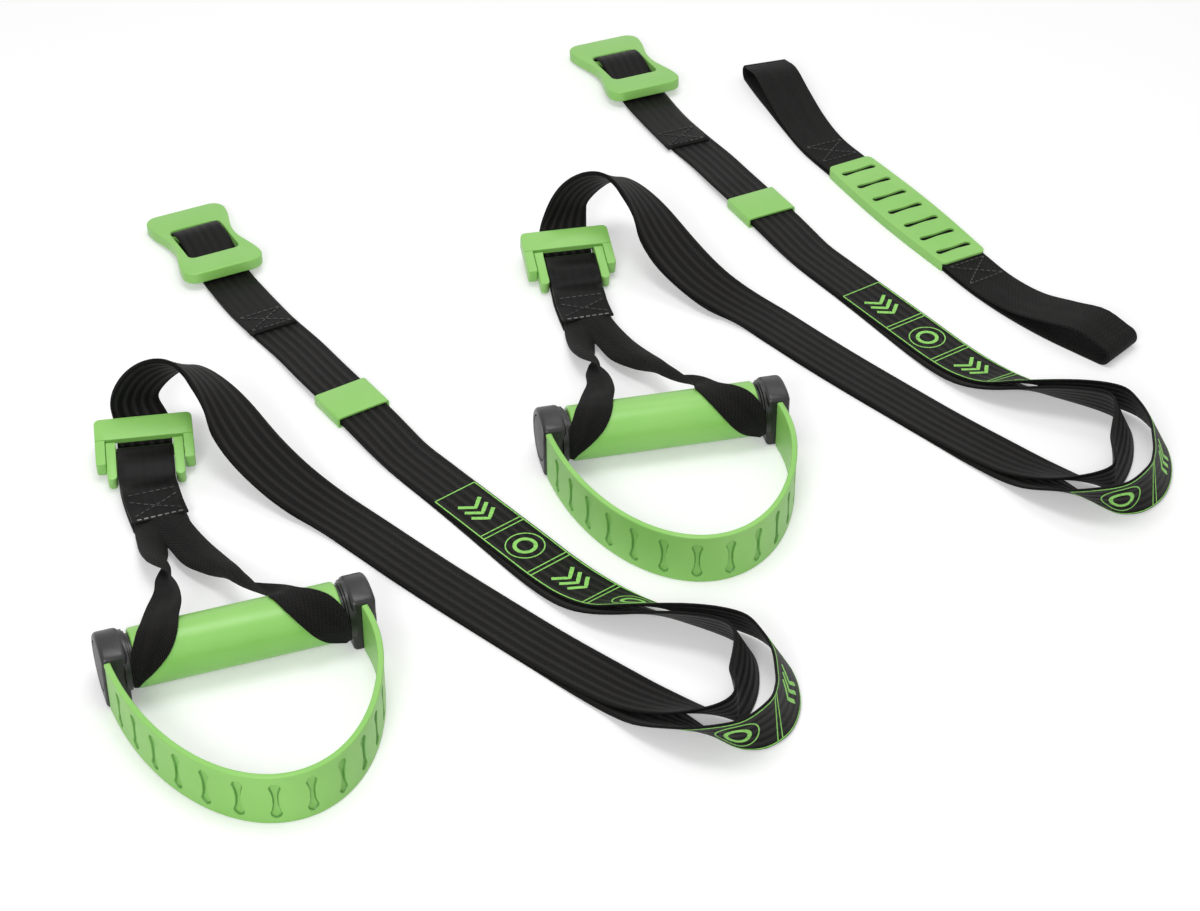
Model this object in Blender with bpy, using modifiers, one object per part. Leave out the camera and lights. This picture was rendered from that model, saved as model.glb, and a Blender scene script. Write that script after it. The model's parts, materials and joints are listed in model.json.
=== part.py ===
"""Suspension trainer set: two adjustable straps with handles, and one short padded loop strap.

Metres, +Z up. The set lies on the floor as it is laid out for use. Trainer a is the nearer one,
trainer b the farther one. The set's origin is the middle of its floor area.
Route tables are in millimetres on the floor: they are places chosen by hand, not sizes.
"""
import math

import bmesh
import bpy
import numpy as np
from mathutils import Matrix, Vector

mm = 0.001

# Clearances and fineness
GAP = 0.3 * mm
LIFT_OFF = 0.2 * mm
OVERRUN = 4 * mm
WELD = 0.05 * mm
STRAP_STEP = 14 * mm
TURN_STEP = math.radians(19)
ROUND_SIDES = 20
SMALL_SIDES = 14
FOLD_ANGLES = (30, 60, 90, 120, 150)

# Place of the set on the floor
SET_SHIFT_X = -16.58 * mm
SET_SHIFT_Y = -93.52 * mm
SET_LIFT = -0.06 * mm

# Webbing
STRAP_WIDTH = 30 * mm
STRAP_THICK = 1.5 * mm
PLY_PITCH = STRAP_THICK + GAP
TAB_WIDTH = 31 * mm
LEG_WIDTH = 25.5 * mm

# Anchor plate
PLATE_HALF_WIDTH = 25.5 * mm
PLATE_HALF_LENGTH = 41.5 * mm
PLATE_THICK = 7 * mm
PLATE_CORNER = 9 * mm
PLATE_WAIST_DEPTH = 4 * mm
PLATE_EDGE = 1.8 * mm
PLATE_MIDDLE = 6.4 * mm
PLATE_TILT = math.radians(3.5)
OPENING_HALF_WIDTH = 16.2 * mm
OPENING_NEAR = -17.5 * mm
OPENING_FAR = 18.5 * mm
OPENING_CORNER = 3 * mm
CROSSBAR_PLACE = 12 * mm
CROSSBAR_RADIUS = 2.6 * mm

# Keeper sleeve
KEEPER_WALL = 1.3 * mm
KEEPER_LENGTH = 27 * mm
KEEPER_SIDE_GAP = 0.5 * mm
KEEPER_ROOM = 2 * STRAP_THICK + 4 * GAP
KEEPER_EDGE = 0.5 * mm

# Cam buckle
BUCKLE_HALF_WIDTH = 27 * mm
BUCKLE_DEPTH = 43 * mm
BUCKLE_THICK = 9.6 * mm
BRIDGE_START = 28 * mm
CHEEK_START = 8 * mm
CHEEK_WIDTH = 5.5 * mm
BUCKLE_CORNER = 3 * mm
BUCKLE_EDGE = 0.9 * mm
BUCKLE_SLOPE = math.radians(15)
CHANNEL_HALF_WIDTH = 16.2 * mm
CHANNEL_HEIGHT = 5.9 * mm
BAR_PLACE = 20 * mm
BAR_HEIGHT = 4.6 * mm
BAR_RADIUS = 2.4 * mm
BAR_SEAT_DEPTH = 3 * mm
FOLD_PLACE = 33 * mm
FOLD_HEIGHT = 2.2 * mm
FOLD_RADIUS = 1.6 * mm
FOLD_SEAT_DEPTH = 3 * mm
LEVER_ARM_INNER = 16.9 * mm
LEVER_REACH = 26.9 * mm
LEVER_THICK = 7.2 * mm
LEVER_FLOOR = 0.9 * mm
LEVER_CROSS = 1.9 * mm

# Handle
HANDLE_LENGTH = 140 * mm
CAP_LENGTH = 13 * mm
CAP_RADIUS = 18 * mm
CAP_FRONT = 22 * mm
CAP_EDGE = 1.2 * mm
NECK_RADIUS = 13 * mm
NECK_LENGTH = 3.6 * mm
CORE_RADIUS = 10.5 * mm
CORE_WALL = 1.8 * mm
CORE_SEAT_DEPTH = 7 * mm
GRIP_RADIUS = 15.5 * mm
GRIP_WALL = 4.6 * mm
GRIP_EDGE = 1.2 * mm
DISC_RADIUS = 12.5 * mm
DISC_THICK = 2 * mm
CRADLE_INSET = 1 * mm
CRADLE_DEPTH = 121 * mm
CRADLE_THICK = 3 * mm
CRADLE_HEIGHT = 30 * mm
CRADLE_SIDES = 44

# Loop strap
PAD_LENGTH = 130 * mm
PAD_END_WIDTH = 32 * mm
PAD_MIDDLE_WIDTH = 36 * mm
PAD_HEIGHT = 6.8 * mm
PAD_FLOOR = 0.3 * mm
PAD_EDGE = 0.7 * mm
PAD_CORNER = 4 * mm
SLOT_COUNT = 7
SLOT_END_MARGIN = 12.2 * mm
SLOT_LENGTH = 25 * mm
SLOT_END_RADIUS = 2.2 * mm
SLOT_WAIST_RADIUS = 1.5 * mm

# Where each trainer lies: a floor table place (x, y) goes to a stretched and shifted place
LAYOUTS = {
    "a": {"stretch_share": ((1.0, 0.0), (0.0, 1.0)), "shift": (0, 0)},
    "b": {"stretch_share": ((1.010, 0.115), (0.047, 1.113)), "shift": (239, 209)},
}
PLATE_SITE = (-244.5, 210)
PLATE_HEADING = {"a": math.radians(30), "b": math.radians(24)}
KEEPER_SITE = (-144, 46.5)
BUCKLE_SITE = (-248, -29, 0.3)
BUCKLE_HEADING = {"a": math.radians(9.5), "b": math.radians(11.5)}
HANDLE_SITE = {"a": (-183, -173.5), "b": (34.5, 8)}
HANDLE_HEADING = {"a": math.radians(20), "b": math.radians(13)}
PAD_SITE = (192, 250)
PAD_HEADING = math.radians(-61)

# Strap from the anchor plate to the arch. Each row: x, y of the far edge, height of the pair's middle,
# lean in degrees (0 is flat with the printed face up), inward spread of the tail ply
FLOOR_ROUTE = (
    (-216, 189, 0.1, 0, 0), (-196, 154, 0.1, 0, 0), (-180, 131, 0.4, 0, 0), (-164, 108, 1.6, 0, 0),
    (-149, 84, 3.0, 0, 0), (-138, 67.5, 3.4, 0, 0), (-129, 54, 3.5, 0, 0), (-117, 36.5, 3.4, 0, 0),
    (-108, 23, 2.9, 0, 0), (-97, 7, 2.0, 0, 0), (-82, -11, 1.8, 0, 0), (-55, -43, 1.8, 0, 1),
    (-28, -75, 1.8, 0, 3), (-13, -93, 1.8, 1, 4), (0, -107, 1.8, 4, 5), (13, -119, 1.7, 13, 6),
    (26, -129, 1.6, 30, 8), (39, -137, 1.4, 44, 8), (54, -144, 1.2, 54, 7), (70, -151, 1.1, 59, 6),
    (83, -160, 1.1, 61, 8), (92, -174, 1.1, 61, 12), (98, -193, 1.1, 62, 18), (98, -212, 1.0, 64, 21),
    (92, -228, 0.9, 73, 22), (82, -237, 0.9, 86, 20), (71, -238, 0.9, 108, 13), (60, -231, 1.2, 132, 6),
    (49, -220, 1.6, 151, 3), (37, -208, 2.0, 167, 3), (25, -195, 2.0, 176, 3), (8, -179, 1.9, 179, 2),
    (-12, -160, 1.8, 180, 0), (-38, -136, 1.8, 180, 0), (-65, -111, 1.8, 180, 0),
    (-90, -87, 1.8, 180, 0), (-112, -65, 1.9, 180, 0), (-130, -48, 2.6, 180, 0),
)
# Arch over the buckle. Each row: x, y, height of the middle, and the direction from edge to edge
ARCH_ROUTE = (
    (-157, -50, 6, 0.72, 0.69, 0), (-172, -35, 9.5, 0.68, 0.72, 0.14), (-182, -23, 14, 0.59, 0.74, 0.28),
    (-189, -14, 20.5, 0.52, 0.80, 0.28), (-199, -4, 28, 0.44, 0.88, 0.18), (-209, 7, 35, 0.34, 0.94, 0),
    (-216, 13, 39, 0.23, 0.96, -0.12), (-224, 20, 42, 0.13, 0.92, -0.35), (-233, 25, 43, 0.06, 0.78, -0.62),
    (-242, 26, 41, 0.25, 0.59, -0.76), (-249, 24, 37.5, 0.44, 0.48, -0.76), (-254, 21, 32, 0.65, 0.40, -0.62),
    (-256, 19, 25, 0.92, 0.30, -0.20),
)
TAIL_END_ROW = 5
SHORT_END_ROUTE = ((-193, 121, 2.9), (-202, 135, 2.8), (-214, 154, 2.8), (-228, 178, 2.8))

# Webbing tab. Each inner row: place along the buckle, height over its base, spacing of the two plies.
# Each outer row: x, y, height of the middle, spacing of the two plies
TAB_INNER_ROUTE = ((10, 5.2, 6.7), (0, 5.4, 6.3))
TAB_ROUTE = ((-244.5, -42, 4.8, 5.6), (-240.5, -53, 4.0, 5.6), (-236, -64.5, 3.9, 5.8))
# Handle legs. Each row: x, y, height, and the direction from edge to edge
LEG_ROUTES = {
    "left": (
        (-241.5, -50, 3.2, 0.94, 0.34, 0), (-238.5, -58, 2.9, 0.94, 0.34, 0), (-236.5, -66, 2.7, 0.95, 0.28, 0),
        (-235.8, -76, 2.8, 0.97, 0.16, 0), (-235, -86, 4.0, 0.98, 0.10, -0.04), (-234, -96, 7.5, 0.93, 0.05, -0.30),
        (-232, -106, 14, 0.64, -0.05, -0.77), (-229, -117, 19, 0.10, -0.22, -0.96),
        (-224, -129, 26, -0.40, -0.28, -0.86), (-219, -143, 32.5, -0.76, -0.30, -0.52),
        (-215, -158, 36.5, -0.93, -0.34, -0.10),
    ),
    "right": (
        (-240.5, -50, 4.9, 0.94, 0.34, 0), (-237.5, -58, 4.8, 0.93, 0.36, 0), (-234, -66, 5.1, 0.91, 0.41, 0),
        (-227, -78, 8.6, 0.83, 0.55, -0.04), (-216, -91, 12.5, 0.78, 0.61, -0.12), (-204, -105, 15, 0.74, 0.63, -0.22),
        (-193, -118, 19.5, 0.70, 0.62, -0.36), (-184, -127, 24, 0.60, 0.46, -0.65),
        (-177, -135, 28, 0.20, -0.10, -0.97), (-170, -143, 32, -0.62, -0.48, -0.60),
        (-164, -151, 35.5, -0.91, -0.40, -0.08),
    ),
}
# Each leg's turns round the grip. Each row: place along the grip, angle from its top in degrees
LEG_WRAPS = {
    "left": ((-35, -6), (-37, 18), (-38.5, 41), (-39.5, 65), (-40, 90), (-40, 115), (-40, 140)),
    "right": ((27, -6), (31, 15), (35, 40), (38, 65), (39.5, 90), (40, 115), (40, 140)),
}
# Loop strap. Each row: x, y, spacing of the two plies
LOOP_ROUTE = (
    (113, 428, 10), (118, 412, 14), (126, 389, 9), (135, 363, 4), (146.5, 333, 1.8), (160.5, 307, 1.8),
    (176, 278.5, 1.8), (192, 250, 1.8), (208, 221.5, 1.8), (223.5, 193, 1.8), (239, 167, 1.8),
    (256, 144, 5), (273, 125, 11), (290, 109, 15), (301, 99, 11),
)

MATERIALS = {
    "webbing_black": ((0.012, 0.011, 0.012), 0.62, 0.0),
    "handle_webbing_black": ((0.016, 0.015, 0.016), 0.85, 0.0),
    "green_plastic": ((0.25, 0.60, 0.12), 0.42, 0.0),
    "black_plastic": ((0.014, 0.014, 0.015), 0.45, 0.0),
    "grey_plastic": ((0.055, 0.055, 0.060), 0.55, 0.0),
    "bar_steel": ((0.55, 0.55, 0.56), 0.35, 1.0),
}


def clear_scene():
    for old in list(bpy.data.objects):
        bpy.data.objects.remove(old, do_unlink=True)


def make_collection(name):
    group = bpy.data.collections.new(name)
    bpy.context.scene.collection.children.link(group)
    return group


def make_material(name):
    color, roughness, metallic = MATERIALS[name]
    made = bpy.data.materials.get(name) or bpy.data.materials.new(name)
    made.use_nodes = True
    shader = made.node_tree.nodes["Principled BSDF"]
    shader.inputs["Base Color"].default_value = (*color, 1.0)
    shader.inputs["Roughness"].default_value = roughness
    shader.inputs["Metallic"].default_value = metallic
    return made


class Builder:
    """Collections that the pieces and the cutters go in."""

    def __init__(self):
        self.parts = make_collection("suspension_trainer")
        self.cutters = make_collection("cutters")

    def frame(self, name, matrix, parent=None):
        """An empty that carries pieces, on a joint's axis where they move."""
        empty = bpy.data.objects.new(name, None)
        empty.empty_display_size = BUCKLE_CORNER
        self.parts.objects.link(empty)
        empty.parent = parent
        empty.matrix_local = matrix
        return empty

    def piece(self, name, mesh, material, parent, local=Matrix.Identity(4)):
        made = bpy.data.objects.new(name, mesh)
        self.parts.objects.link(made)
        mesh.materials.clear()
        mesh.materials.append(make_material(material))
        made.parent = parent
        made.matrix_local = local
        return made

    def cutter(self, name, mesh, parent, local=Matrix.Identity(4)):
        made = bpy.data.objects.new(name, mesh)
        self.cutters.objects.link(made)
        made.hide_render = True
        made.display_type = "WIRE"
        made.parent = parent
        made.matrix_local = local
        return made


def combine(target, other, operation):
    step = target.modifiers.new(operation.lower(), "BOOLEAN")
    step.operation = operation
    step.object = other
    step.solver = "EXACT"


def smooth_faces(mesh, angle=math.radians(35)):
    mesh.shade_smooth()
    mesh.set_sharp_from_angle(angle=angle)


def round_edges(target, width, segments=2):
    step = target.modifiers.new("round_edges", "BEVEL")
    step.width = width
    step.segments = segments
    step.limit_method = "ANGLE"
    step.angle_limit = math.radians(40)


def box_mesh(name, low, high):
    made = bmesh.new()
    bmesh.ops.create_cube(made, size=1.0)
    size = Vector(high) - Vector(low)
    middle = (Vector(high) + Vector(low)) / 2
    bmesh.ops.transform(made, matrix=Matrix.Translation(middle) @ Matrix.Diagonal((*size, 1.0)), verts=made.verts)
    mesh = bpy.data.meshes.new(name)
    made.to_mesh(mesh)
    made.free()
    return mesh


def rod_mesh(name, radius, length, sides=ROUND_SIDES):
    """A solid round bar about the local X axis."""
    made = bmesh.new()
    bmesh.ops.create_cone(made, cap_ends=True, segments=sides, radius1=radius, radius2=radius, depth=length)
    bmesh.ops.transform(made, matrix=Matrix.Rotation(math.pi / 2, 4, "Y"), verts=made.verts)
    mesh = bpy.data.meshes.new(name)
    made.to_mesh(mesh)
    made.free()
    smooth_faces(mesh)
    return mesh


def outline_mesh(name, outlines, low, high):
    """A flat outline, with any holes, from height low to height high, as one welded mesh."""
    curve = bpy.data.curves.new(name + "_outline", "CURVE")
    curve.dimensions = "2D"
    curve.fill_mode = "BOTH"
    curve.extrude = (high - low) / 2
    for outline in outlines:
        spline = curve.splines.new("POLY")
        spline.points.add(len(outline) - 1)
        for point, (x, y) in zip(spline.points, outline):
            point.co = (x, y, 0.0, 1.0)
        spline.use_cyclic_u = True
    holder = bpy.data.objects.new(name + "_outline", curve)
    bpy.context.scene.collection.objects.link(holder)
    depsgraph = bpy.context.evaluated_depsgraph_get()
    mesh = bpy.data.meshes.new_from_object(holder.evaluated_get(depsgraph))
    mesh.name = name
    bpy.data.objects.remove(holder)
    made = bmesh.new()
    made.from_mesh(mesh)
    bmesh.ops.remove_doubles(made, verts=made.verts, dist=WELD)
    bmesh.ops.dissolve_limit(made, angle_limit=math.radians(1), verts=made.verts, edges=made.edges)
    bmesh.ops.translate(made, verts=made.verts, vec=(0, 0, (high + low) / 2))
    bmesh.ops.recalc_face_normals(made, faces=made.faces)
    made.to_mesh(mesh)
    made.free()
    return mesh


def rounded_corners(corners, radius, steps=5):
    """An outline through the corners, with each corner rounded by an arc of the radius."""
    outline = []
    count = len(corners)
    for index in range(count):
        here = Vector(corners[index])
        back = (Vector(corners[index - 1]) - here).normalized()
        ahead = (Vector(corners[(index + 1) % count]) - here).normalized()
        opening = back.angle(ahead)
        reach = radius / math.tan(opening / 2)
        middle = here + (back + ahead).normalized() * (radius / math.sin(opening / 2))
        first = here + back * reach - middle
        last = here + ahead * reach - middle
        sweep = first.angle_signed(last)
        for step in range(steps + 1):
            turn = Matrix.Rotation(-sweep * step / steps, 2)
            outline.append(tuple(middle + turn @ first))
    return outline


def floor_place(trainer, x, y):
    """A floor table place, in millimetres, laid out for the trainer."""
    layout = LAYOUTS[trainer]
    (xx, xy), (yx, yy) = layout["stretch_share"]
    shift_x, shift_y = layout["shift"]
    return (xx * x + xy * y + shift_x) * mm, (yx * x + yy * y + shift_y) * mm


def floor_frame(place, heading, tilt=0.0):
    """A frame at a place, turned by the heading about Z and then tilted about its own X."""
    return Matrix.Translation(place) @ Matrix.Rotation(heading, 4, "Z") @ Matrix.Rotation(tilt, 4, "X")


def plate_frame(trainer):
    x, y = floor_place(trainer, *PLATE_SITE)
    return floor_frame((x, y, PLATE_MIDDLE), PLATE_HEADING[trainer], -PLATE_TILT)


def buckle_frame(trainer):
    x, y = floor_place(trainer, *BUCKLE_SITE[:2])
    return floor_frame((x, y, BUCKLE_SITE[2] * mm), BUCKLE_HEADING[trainer], BUCKLE_SLOPE)


def handle_frame(trainer):
    x, y = (value * mm for value in HANDLE_SITE[trainer])
    return floor_frame((x, y, CAP_RADIUS + LIFT_OFF), HANDLE_HEADING[trainer])


def smooth_rows(rows, step=STRAP_STEP):
    """A smooth curve through the rows, whose first six values are a place and an edge-to-edge direction."""
    rows = np.array(rows, dtype=float)
    chords = np.linalg.norm(np.diff(rows[:, :3], axis=0), axis=1)
    along = np.concatenate(([0.0], np.cumsum(chords)))
    slopes = np.gradient(rows, along, axis=0)
    result = []
    for index, chord in enumerate(chords):
        ends = slopes[index:index + 2, :3]
        bend = Vector(ends[0]).angle(Vector(ends[1]), 0.0)
        twist = Vector(rows[index, 3:6]).angle(Vector(rows[index + 1, 3:6]), 0.0)
        count = max(1, math.ceil(chord / step), math.ceil((bend + twist) / TURN_STEP))
        for part in range(count):
            t = part / count
            blend = (2 * t ** 3 - 3 * t ** 2 + 1, t ** 3 - 2 * t ** 2 + t, 3 * t ** 2 - 2 * t ** 3, t ** 3 - t ** 2)
            result.append(blend[0] * rows[index] + blend[1] * chord * slopes[index]
                          + blend[2] * rows[index + 1] + blend[3] * chord * slopes[index + 1])
    result.append(rows[-1])
    return np.array(result)


def squared(places, acrosses):
    """Travel, edge-to-edge and face directions at each place, square to each other."""
    travels = np.gradient(places, axis=0)
    travels /= np.linalg.norm(travels, axis=1, keepdims=True)
    acrosses = acrosses - travels * np.sum(acrosses * travels, axis=1, keepdims=True)
    acrosses /= np.linalg.norm(acrosses, axis=1, keepdims=True)
    return travels, acrosses, np.cross(acrosses, travels)


def row_ends(place, across, width):
    return [Vector(place) + Vector(across) * side * width / 2 for side in (-1, 1)]


def ribbon_mesh(name, places, acrosses, width):
    """An open strip, one edge swept along the route; its thickness comes from Solidify."""
    _, acrosses, _ = squared(places, acrosses)
    made = bmesh.new()
    pair = [made.verts.new(end) for end in row_ends(places[0], acrosses[0], width)]
    edge = made.edges.new(pair)
    for place, across in zip(places[1:], acrosses[1:]):
        swept = bmesh.ops.extrude_edge_only(made, edges=[edge])["geom"]
        fresh = [item for item in swept if isinstance(item, bmesh.types.BMVert)]
        if made.edges.get((pair[0], fresh[0])) is None:
            fresh.reverse()
        for vert, end in zip(fresh, row_ends(place, across, width)):
            vert.co = end
        pair = fresh
        edge = made.edges.get(pair)
    mesh = bpy.data.meshes.new(name)
    made.to_mesh(mesh)
    made.free()
    mesh.shade_smooth()
    return mesh


def ribbon(builder, name, places, acrosses, width, material, parent):
    mesh = ribbon_mesh(name, places, acrosses, width)
    made = builder.piece(name, mesh, material, parent, parent.matrix_world.inverted() @ set_matrix())
    shell = made.modifiers.new("thickness", "SOLIDIFY")
    shell.thickness = STRAP_THICK
    shell.offset = 0.0
    shell.use_even_offset = False
    return made


def set_matrix():
    return Matrix.Translation((SET_SHIFT_X, SET_SHIFT_Y, SET_LIFT))


def floor_rows(trainer):
    """Rows of the laid strap: middle place, edge-to-edge direction, ply spacing and tail spread."""
    edges = [floor_place(trainer, row[0], row[1]) for row in FLOOR_ROUTE]
    travels = np.gradient(np.array(edges), axis=0)
    rows = []
    for (x, y), (tx, ty), row in zip(edges, travels, FLOOR_ROUTE):
        travel = Vector((tx, ty, 0)).normalized()
        nearer = travel.cross(Vector((0, 0, 1)))
        lean = math.radians(row[3])
        across = nearer * math.cos(lean) + Vector((0, 0, 1)) * math.sin(lean)
        middle = Vector((x, y, row[2] * mm)) + across * STRAP_WIDTH / 2
        rows.append((*middle, *across, PLY_PITCH, row[4] * mm))
    return rows


def arch_rows(trainer):
    rows = []
    for x, y, z, ax, ay, az in ARCH_ROUTE:
        rows.append((*floor_place(trainer, x, y), z * mm, -ax, -ay, -az, PLY_PITCH, 0.0))
    frame = buckle_frame(trainer)
    across = -frame.col[0].xyz
    fold_spacing = 2 * (FOLD_RADIUS + GAP + STRAP_THICK / 2)
    entry = frame @ Vector((0, BUCKLE_DEPTH + BUCKLE_EDGE, FOLD_HEIGHT))
    fold = frame @ Vector((0, FOLD_PLACE, FOLD_HEIGHT))
    rows.append((*entry, *across, (PLY_PITCH + fold_spacing) / 2, 0.0))
    rows.append((*fold, *across, fold_spacing, 0.0))
    return rows


def main_route(trainer):
    """Places and edge-to-edge directions of the whole strap, from its sewn end to its tail."""
    plate = plate_frame(trainer)
    sideways = -plate.col[0].xyz
    turn = CROSSBAR_RADIUS + GAP + STRAP_THICK / 2
    start = [(*floor_place(trainer, x, y), z * mm, *sideways) for x, y, z in SHORT_END_ROUTE]
    inside = plate @ Vector((0, OPENING_NEAR, 0))
    inside.z = SHORT_END_ROUTE[-1][2] * mm + WELD
    start.append((*inside, *sideways))
    for degrees in (0, 30, 60, 90, 120, 150, 180):
        angle = math.radians(degrees)
        place = plate @ Vector((0, CROSSBAR_PLACE + turn * math.sin(angle), turn * math.cos(angle)))
        start.append((*place, *sideways))
    below = plate @ Vector((0, OPENING_NEAR, 0))
    below.z = STRAP_THICK / 2 + LIFT_OFF
    start.append((*below, *sideways))
    start = smooth_rows(start)
    base = smooth_rows(floor_rows(trainer) + arch_rows(trainer))
    travels, acrosses, faces = squared(base[:, :3], base[:, 3:6])
    level = travels * (1, 1, 0)
    inward = np.cross(level / np.linalg.norm(level, axis=1, keepdims=True), (0, 0, 1))
    load = base[:, :3] + faces * base[:, 6:7] / 2
    tail = base[:, :3] - faces * base[:, 6:7] / 2 + inward * base[:, 7:8]
    end_x, end_y = floor_place(trainer, *FLOOR_ROUTE[TAIL_END_ROW][:2])
    tail_start = int(np.argmin(np.hypot(tail[:, 0] - end_x, tail[:, 1] - end_y)))
    buckle = buckle_frame(trainer)
    across = -buckle.col[0].xyz
    fold = []
    for degrees in FOLD_ANGLES:
        angle = math.radians(degrees)
        radius = FOLD_RADIUS + GAP + STRAP_THICK / 2
        place = buckle @ Vector((0, FOLD_PLACE - radius * math.sin(angle),
                                 FOLD_HEIGHT + radius * math.cos(angle)))
        fold.append((*place, *across))
    fold = np.array(fold)
    back = slice(None, tail_start - 1 if tail_start else None, -1)
    places = np.vstack((start[:, :3], load, fold[:, :3], tail[back]))
    directions = np.vstack((start[:, 3:6], acrosses, fold[:, 3:6], acrosses[back]))
    return places, directions


def make_main_webbing(builder, trainer, body):
    places, directions = main_route(trainer)
    ribbon(builder, "main_webbing_" + trainer, places, directions, STRAP_WIDTH, "webbing_black", body)


def plate_outline():
    """Hourglass outline: rounded ends and sides drawn in to a waist."""
    side = []
    steps = 8
    reach = PLATE_HALF_LENGTH - PLATE_CORNER
    for step in range(steps + 1):
        share = -1 + 2 * step / steps
        drawn_in = PLATE_WAIST_DEPTH * (0.5 + 0.5 * math.cos(math.pi * share))
        side.append((PLATE_HALF_WIDTH - drawn_in, reach * share))
    far = [(PLATE_HALF_WIDTH - PLATE_CORNER + PLATE_CORNER * math.cos(angle),
            reach + PLATE_CORNER * math.sin(angle))
           for angle in (math.radians(15 * step) for step in range(1, 7))]
    right = side + far
    left = [(-x, y) for x, y in reversed(right)]
    near_left = [(-x, -y) for x, y in far]
    near_right = [(x, -y) for x, y in reversed(far)]
    return right + left + near_left + near_right


def make_plate(builder, trainer, parent):
    frame = plate_frame(trainer)
    body = builder.frame("anchor_joint_" + trainer, parent_local(parent, frame @ Matrix.Translation(
        (0, CROSSBAR_PLACE, 0))), parent)
    local = Matrix.Translation((0, -CROSSBAR_PLACE, 0))
    opening = rounded_corners(((OPENING_HALF_WIDTH, OPENING_NEAR), (OPENING_HALF_WIDTH, OPENING_FAR),
                               (-OPENING_HALF_WIDTH, OPENING_FAR), (-OPENING_HALF_WIDTH, OPENING_NEAR)),
                              OPENING_CORNER, 3)
    mesh = outline_mesh("anchor_plate_" + trainer, (plate_outline(), opening), -PLATE_THICK / 2, PLATE_THICK / 2)
    plate = builder.piece("anchor_plate_" + trainer, mesh, "green_plastic", body, local)
    round_edges(plate, PLATE_EDGE)
    smooth_faces(plate.data)
    bar_length = 2 * OPENING_HALF_WIDTH + OVERRUN
    bar = builder.cutter("crossbar_" + trainer, rod_mesh("crossbar", CROSSBAR_RADIUS, bar_length, SMALL_SIDES), body)
    combine(plate, bar, "UNION")


def parent_local(parent, world_in_set):
    """The matrix, under the parent, of a frame given in the set's own coordinates."""
    bpy.context.view_layer.update()
    return parent.matrix_world.inverted() @ set_matrix() @ world_in_set


def keeper_frame(trainer):
    rows = np.array(floor_rows(trainer))
    x, y = floor_place(trainer, *KEEPER_SITE)
    near = int(np.argmin(np.hypot(rows[:, 0] - x, rows[:, 1] - y)))
    ahead = Vector(rows[near + 1, :3] - rows[near - 1, :3])
    heading = math.atan2(ahead.y, ahead.x) + math.pi / 2
    middle = Vector(rows[near, :3])
    return floor_frame((middle.x, middle.y, rows[near, 2]), heading)


def make_keeper(builder, trainer, parent):
    frame = keeper_frame(trainer)
    body = builder.frame("keeper_joint_" + trainer, parent_local(parent, frame), parent)
    half_width = STRAP_WIDTH / 2 + KEEPER_SIDE_GAP
    half_room = KEEPER_ROOM / 2
    outer = (half_width + KEEPER_WALL, KEEPER_LENGTH / 2, half_room + KEEPER_WALL)
    inner = (half_width, KEEPER_LENGTH / 2 + OVERRUN, half_room)
    keeper = builder.piece("keeper_" + trainer, box_mesh("keeper", [-v for v in outer], outer),
                           "green_plastic", body)
    round_edges(keeper, KEEPER_EDGE)
    hollow = builder.cutter("keeper_hollow_" + trainer, box_mesh("keeper_hollow", [-v for v in inner], inner), body)
    combine(keeper, hollow, "DIFFERENCE")


def make_buckle(builder, trainer, parent):
    """Frame with its bridge and cheeks, the tab's bar, the fold bar and the lever."""
    frame = buckle_frame(trainer)
    body = builder.frame("buckle_place_" + trainer, parent_local(parent, frame), parent)
    cheek_inner = BUCKLE_HALF_WIDTH - CHEEK_WIDTH
    corners = ((BUCKLE_HALF_WIDTH, CHEEK_START), (BUCKLE_HALF_WIDTH, BUCKLE_DEPTH),
               (-BUCKLE_HALF_WIDTH, BUCKLE_DEPTH), (-BUCKLE_HALF_WIDTH, CHEEK_START),
               (-cheek_inner, CHEEK_START), (-cheek_inner, BRIDGE_START), (cheek_inner, BRIDGE_START),
               (cheek_inner, CHEEK_START))
    outline = rounded_corners(corners, BUCKLE_CORNER / 2, 3)
    mesh = outline_mesh("buckle_frame_" + trainer, (outline,), 0.0, BUCKLE_THICK)
    shell = builder.piece("buckle_frame_" + trainer, mesh, "green_plastic", body)
    round_edges(shell, BUCKLE_EDGE, 1)
    channel = box_mesh("channel", (-CHANNEL_HALF_WIDTH, BRIDGE_START - OVERRUN, -OVERRUN),
                       (CHANNEL_HALF_WIDTH, BUCKLE_DEPTH + OVERRUN, CHANNEL_HEIGHT))
    combine(shell, builder.cutter("channel_" + trainer, channel, body), "DIFFERENCE")
    fold_half = CHANNEL_HALF_WIDTH + FOLD_SEAT_DEPTH
    bar_half = cheek_inner + BAR_SEAT_DEPTH
    at_fold = Matrix.Translation((0, FOLD_PLACE, FOLD_HEIGHT))
    at_bar = Matrix.Translation((0, BAR_PLACE, BAR_HEIGHT))
    fold_seat = rod_mesh("fold_seat", FOLD_RADIUS + GAP, 2 * (fold_half + GAP), SMALL_SIDES)
    bar_seat = rod_mesh("bar_seat", BAR_RADIUS + GAP, 2 * (bar_half + GAP), SMALL_SIDES)
    combine(shell, builder.cutter("fold_seat_" + trainer, fold_seat, body, at_fold), "DIFFERENCE")
    combine(shell, builder.cutter("bar_seat_" + trainer, bar_seat, body, at_bar), "DIFFERENCE")
    fold_bar = rod_mesh("buckle_fold_bar_" + trainer, FOLD_RADIUS, 2 * fold_half, SMALL_SIDES)
    tab_bar = rod_mesh("buckle_bar_" + trainer, BAR_RADIUS, 2 * bar_half, SMALL_SIDES)
    builder.piece("buckle_fold_bar_" + trainer, fold_bar, "bar_steel", body, at_fold)
    builder.piece("buckle_bar_" + trainer, tab_bar, "bar_steel", body, at_bar)
    make_lever(builder, trainer, body, at_bar, cheek_inner - GAP)
    return body


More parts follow.
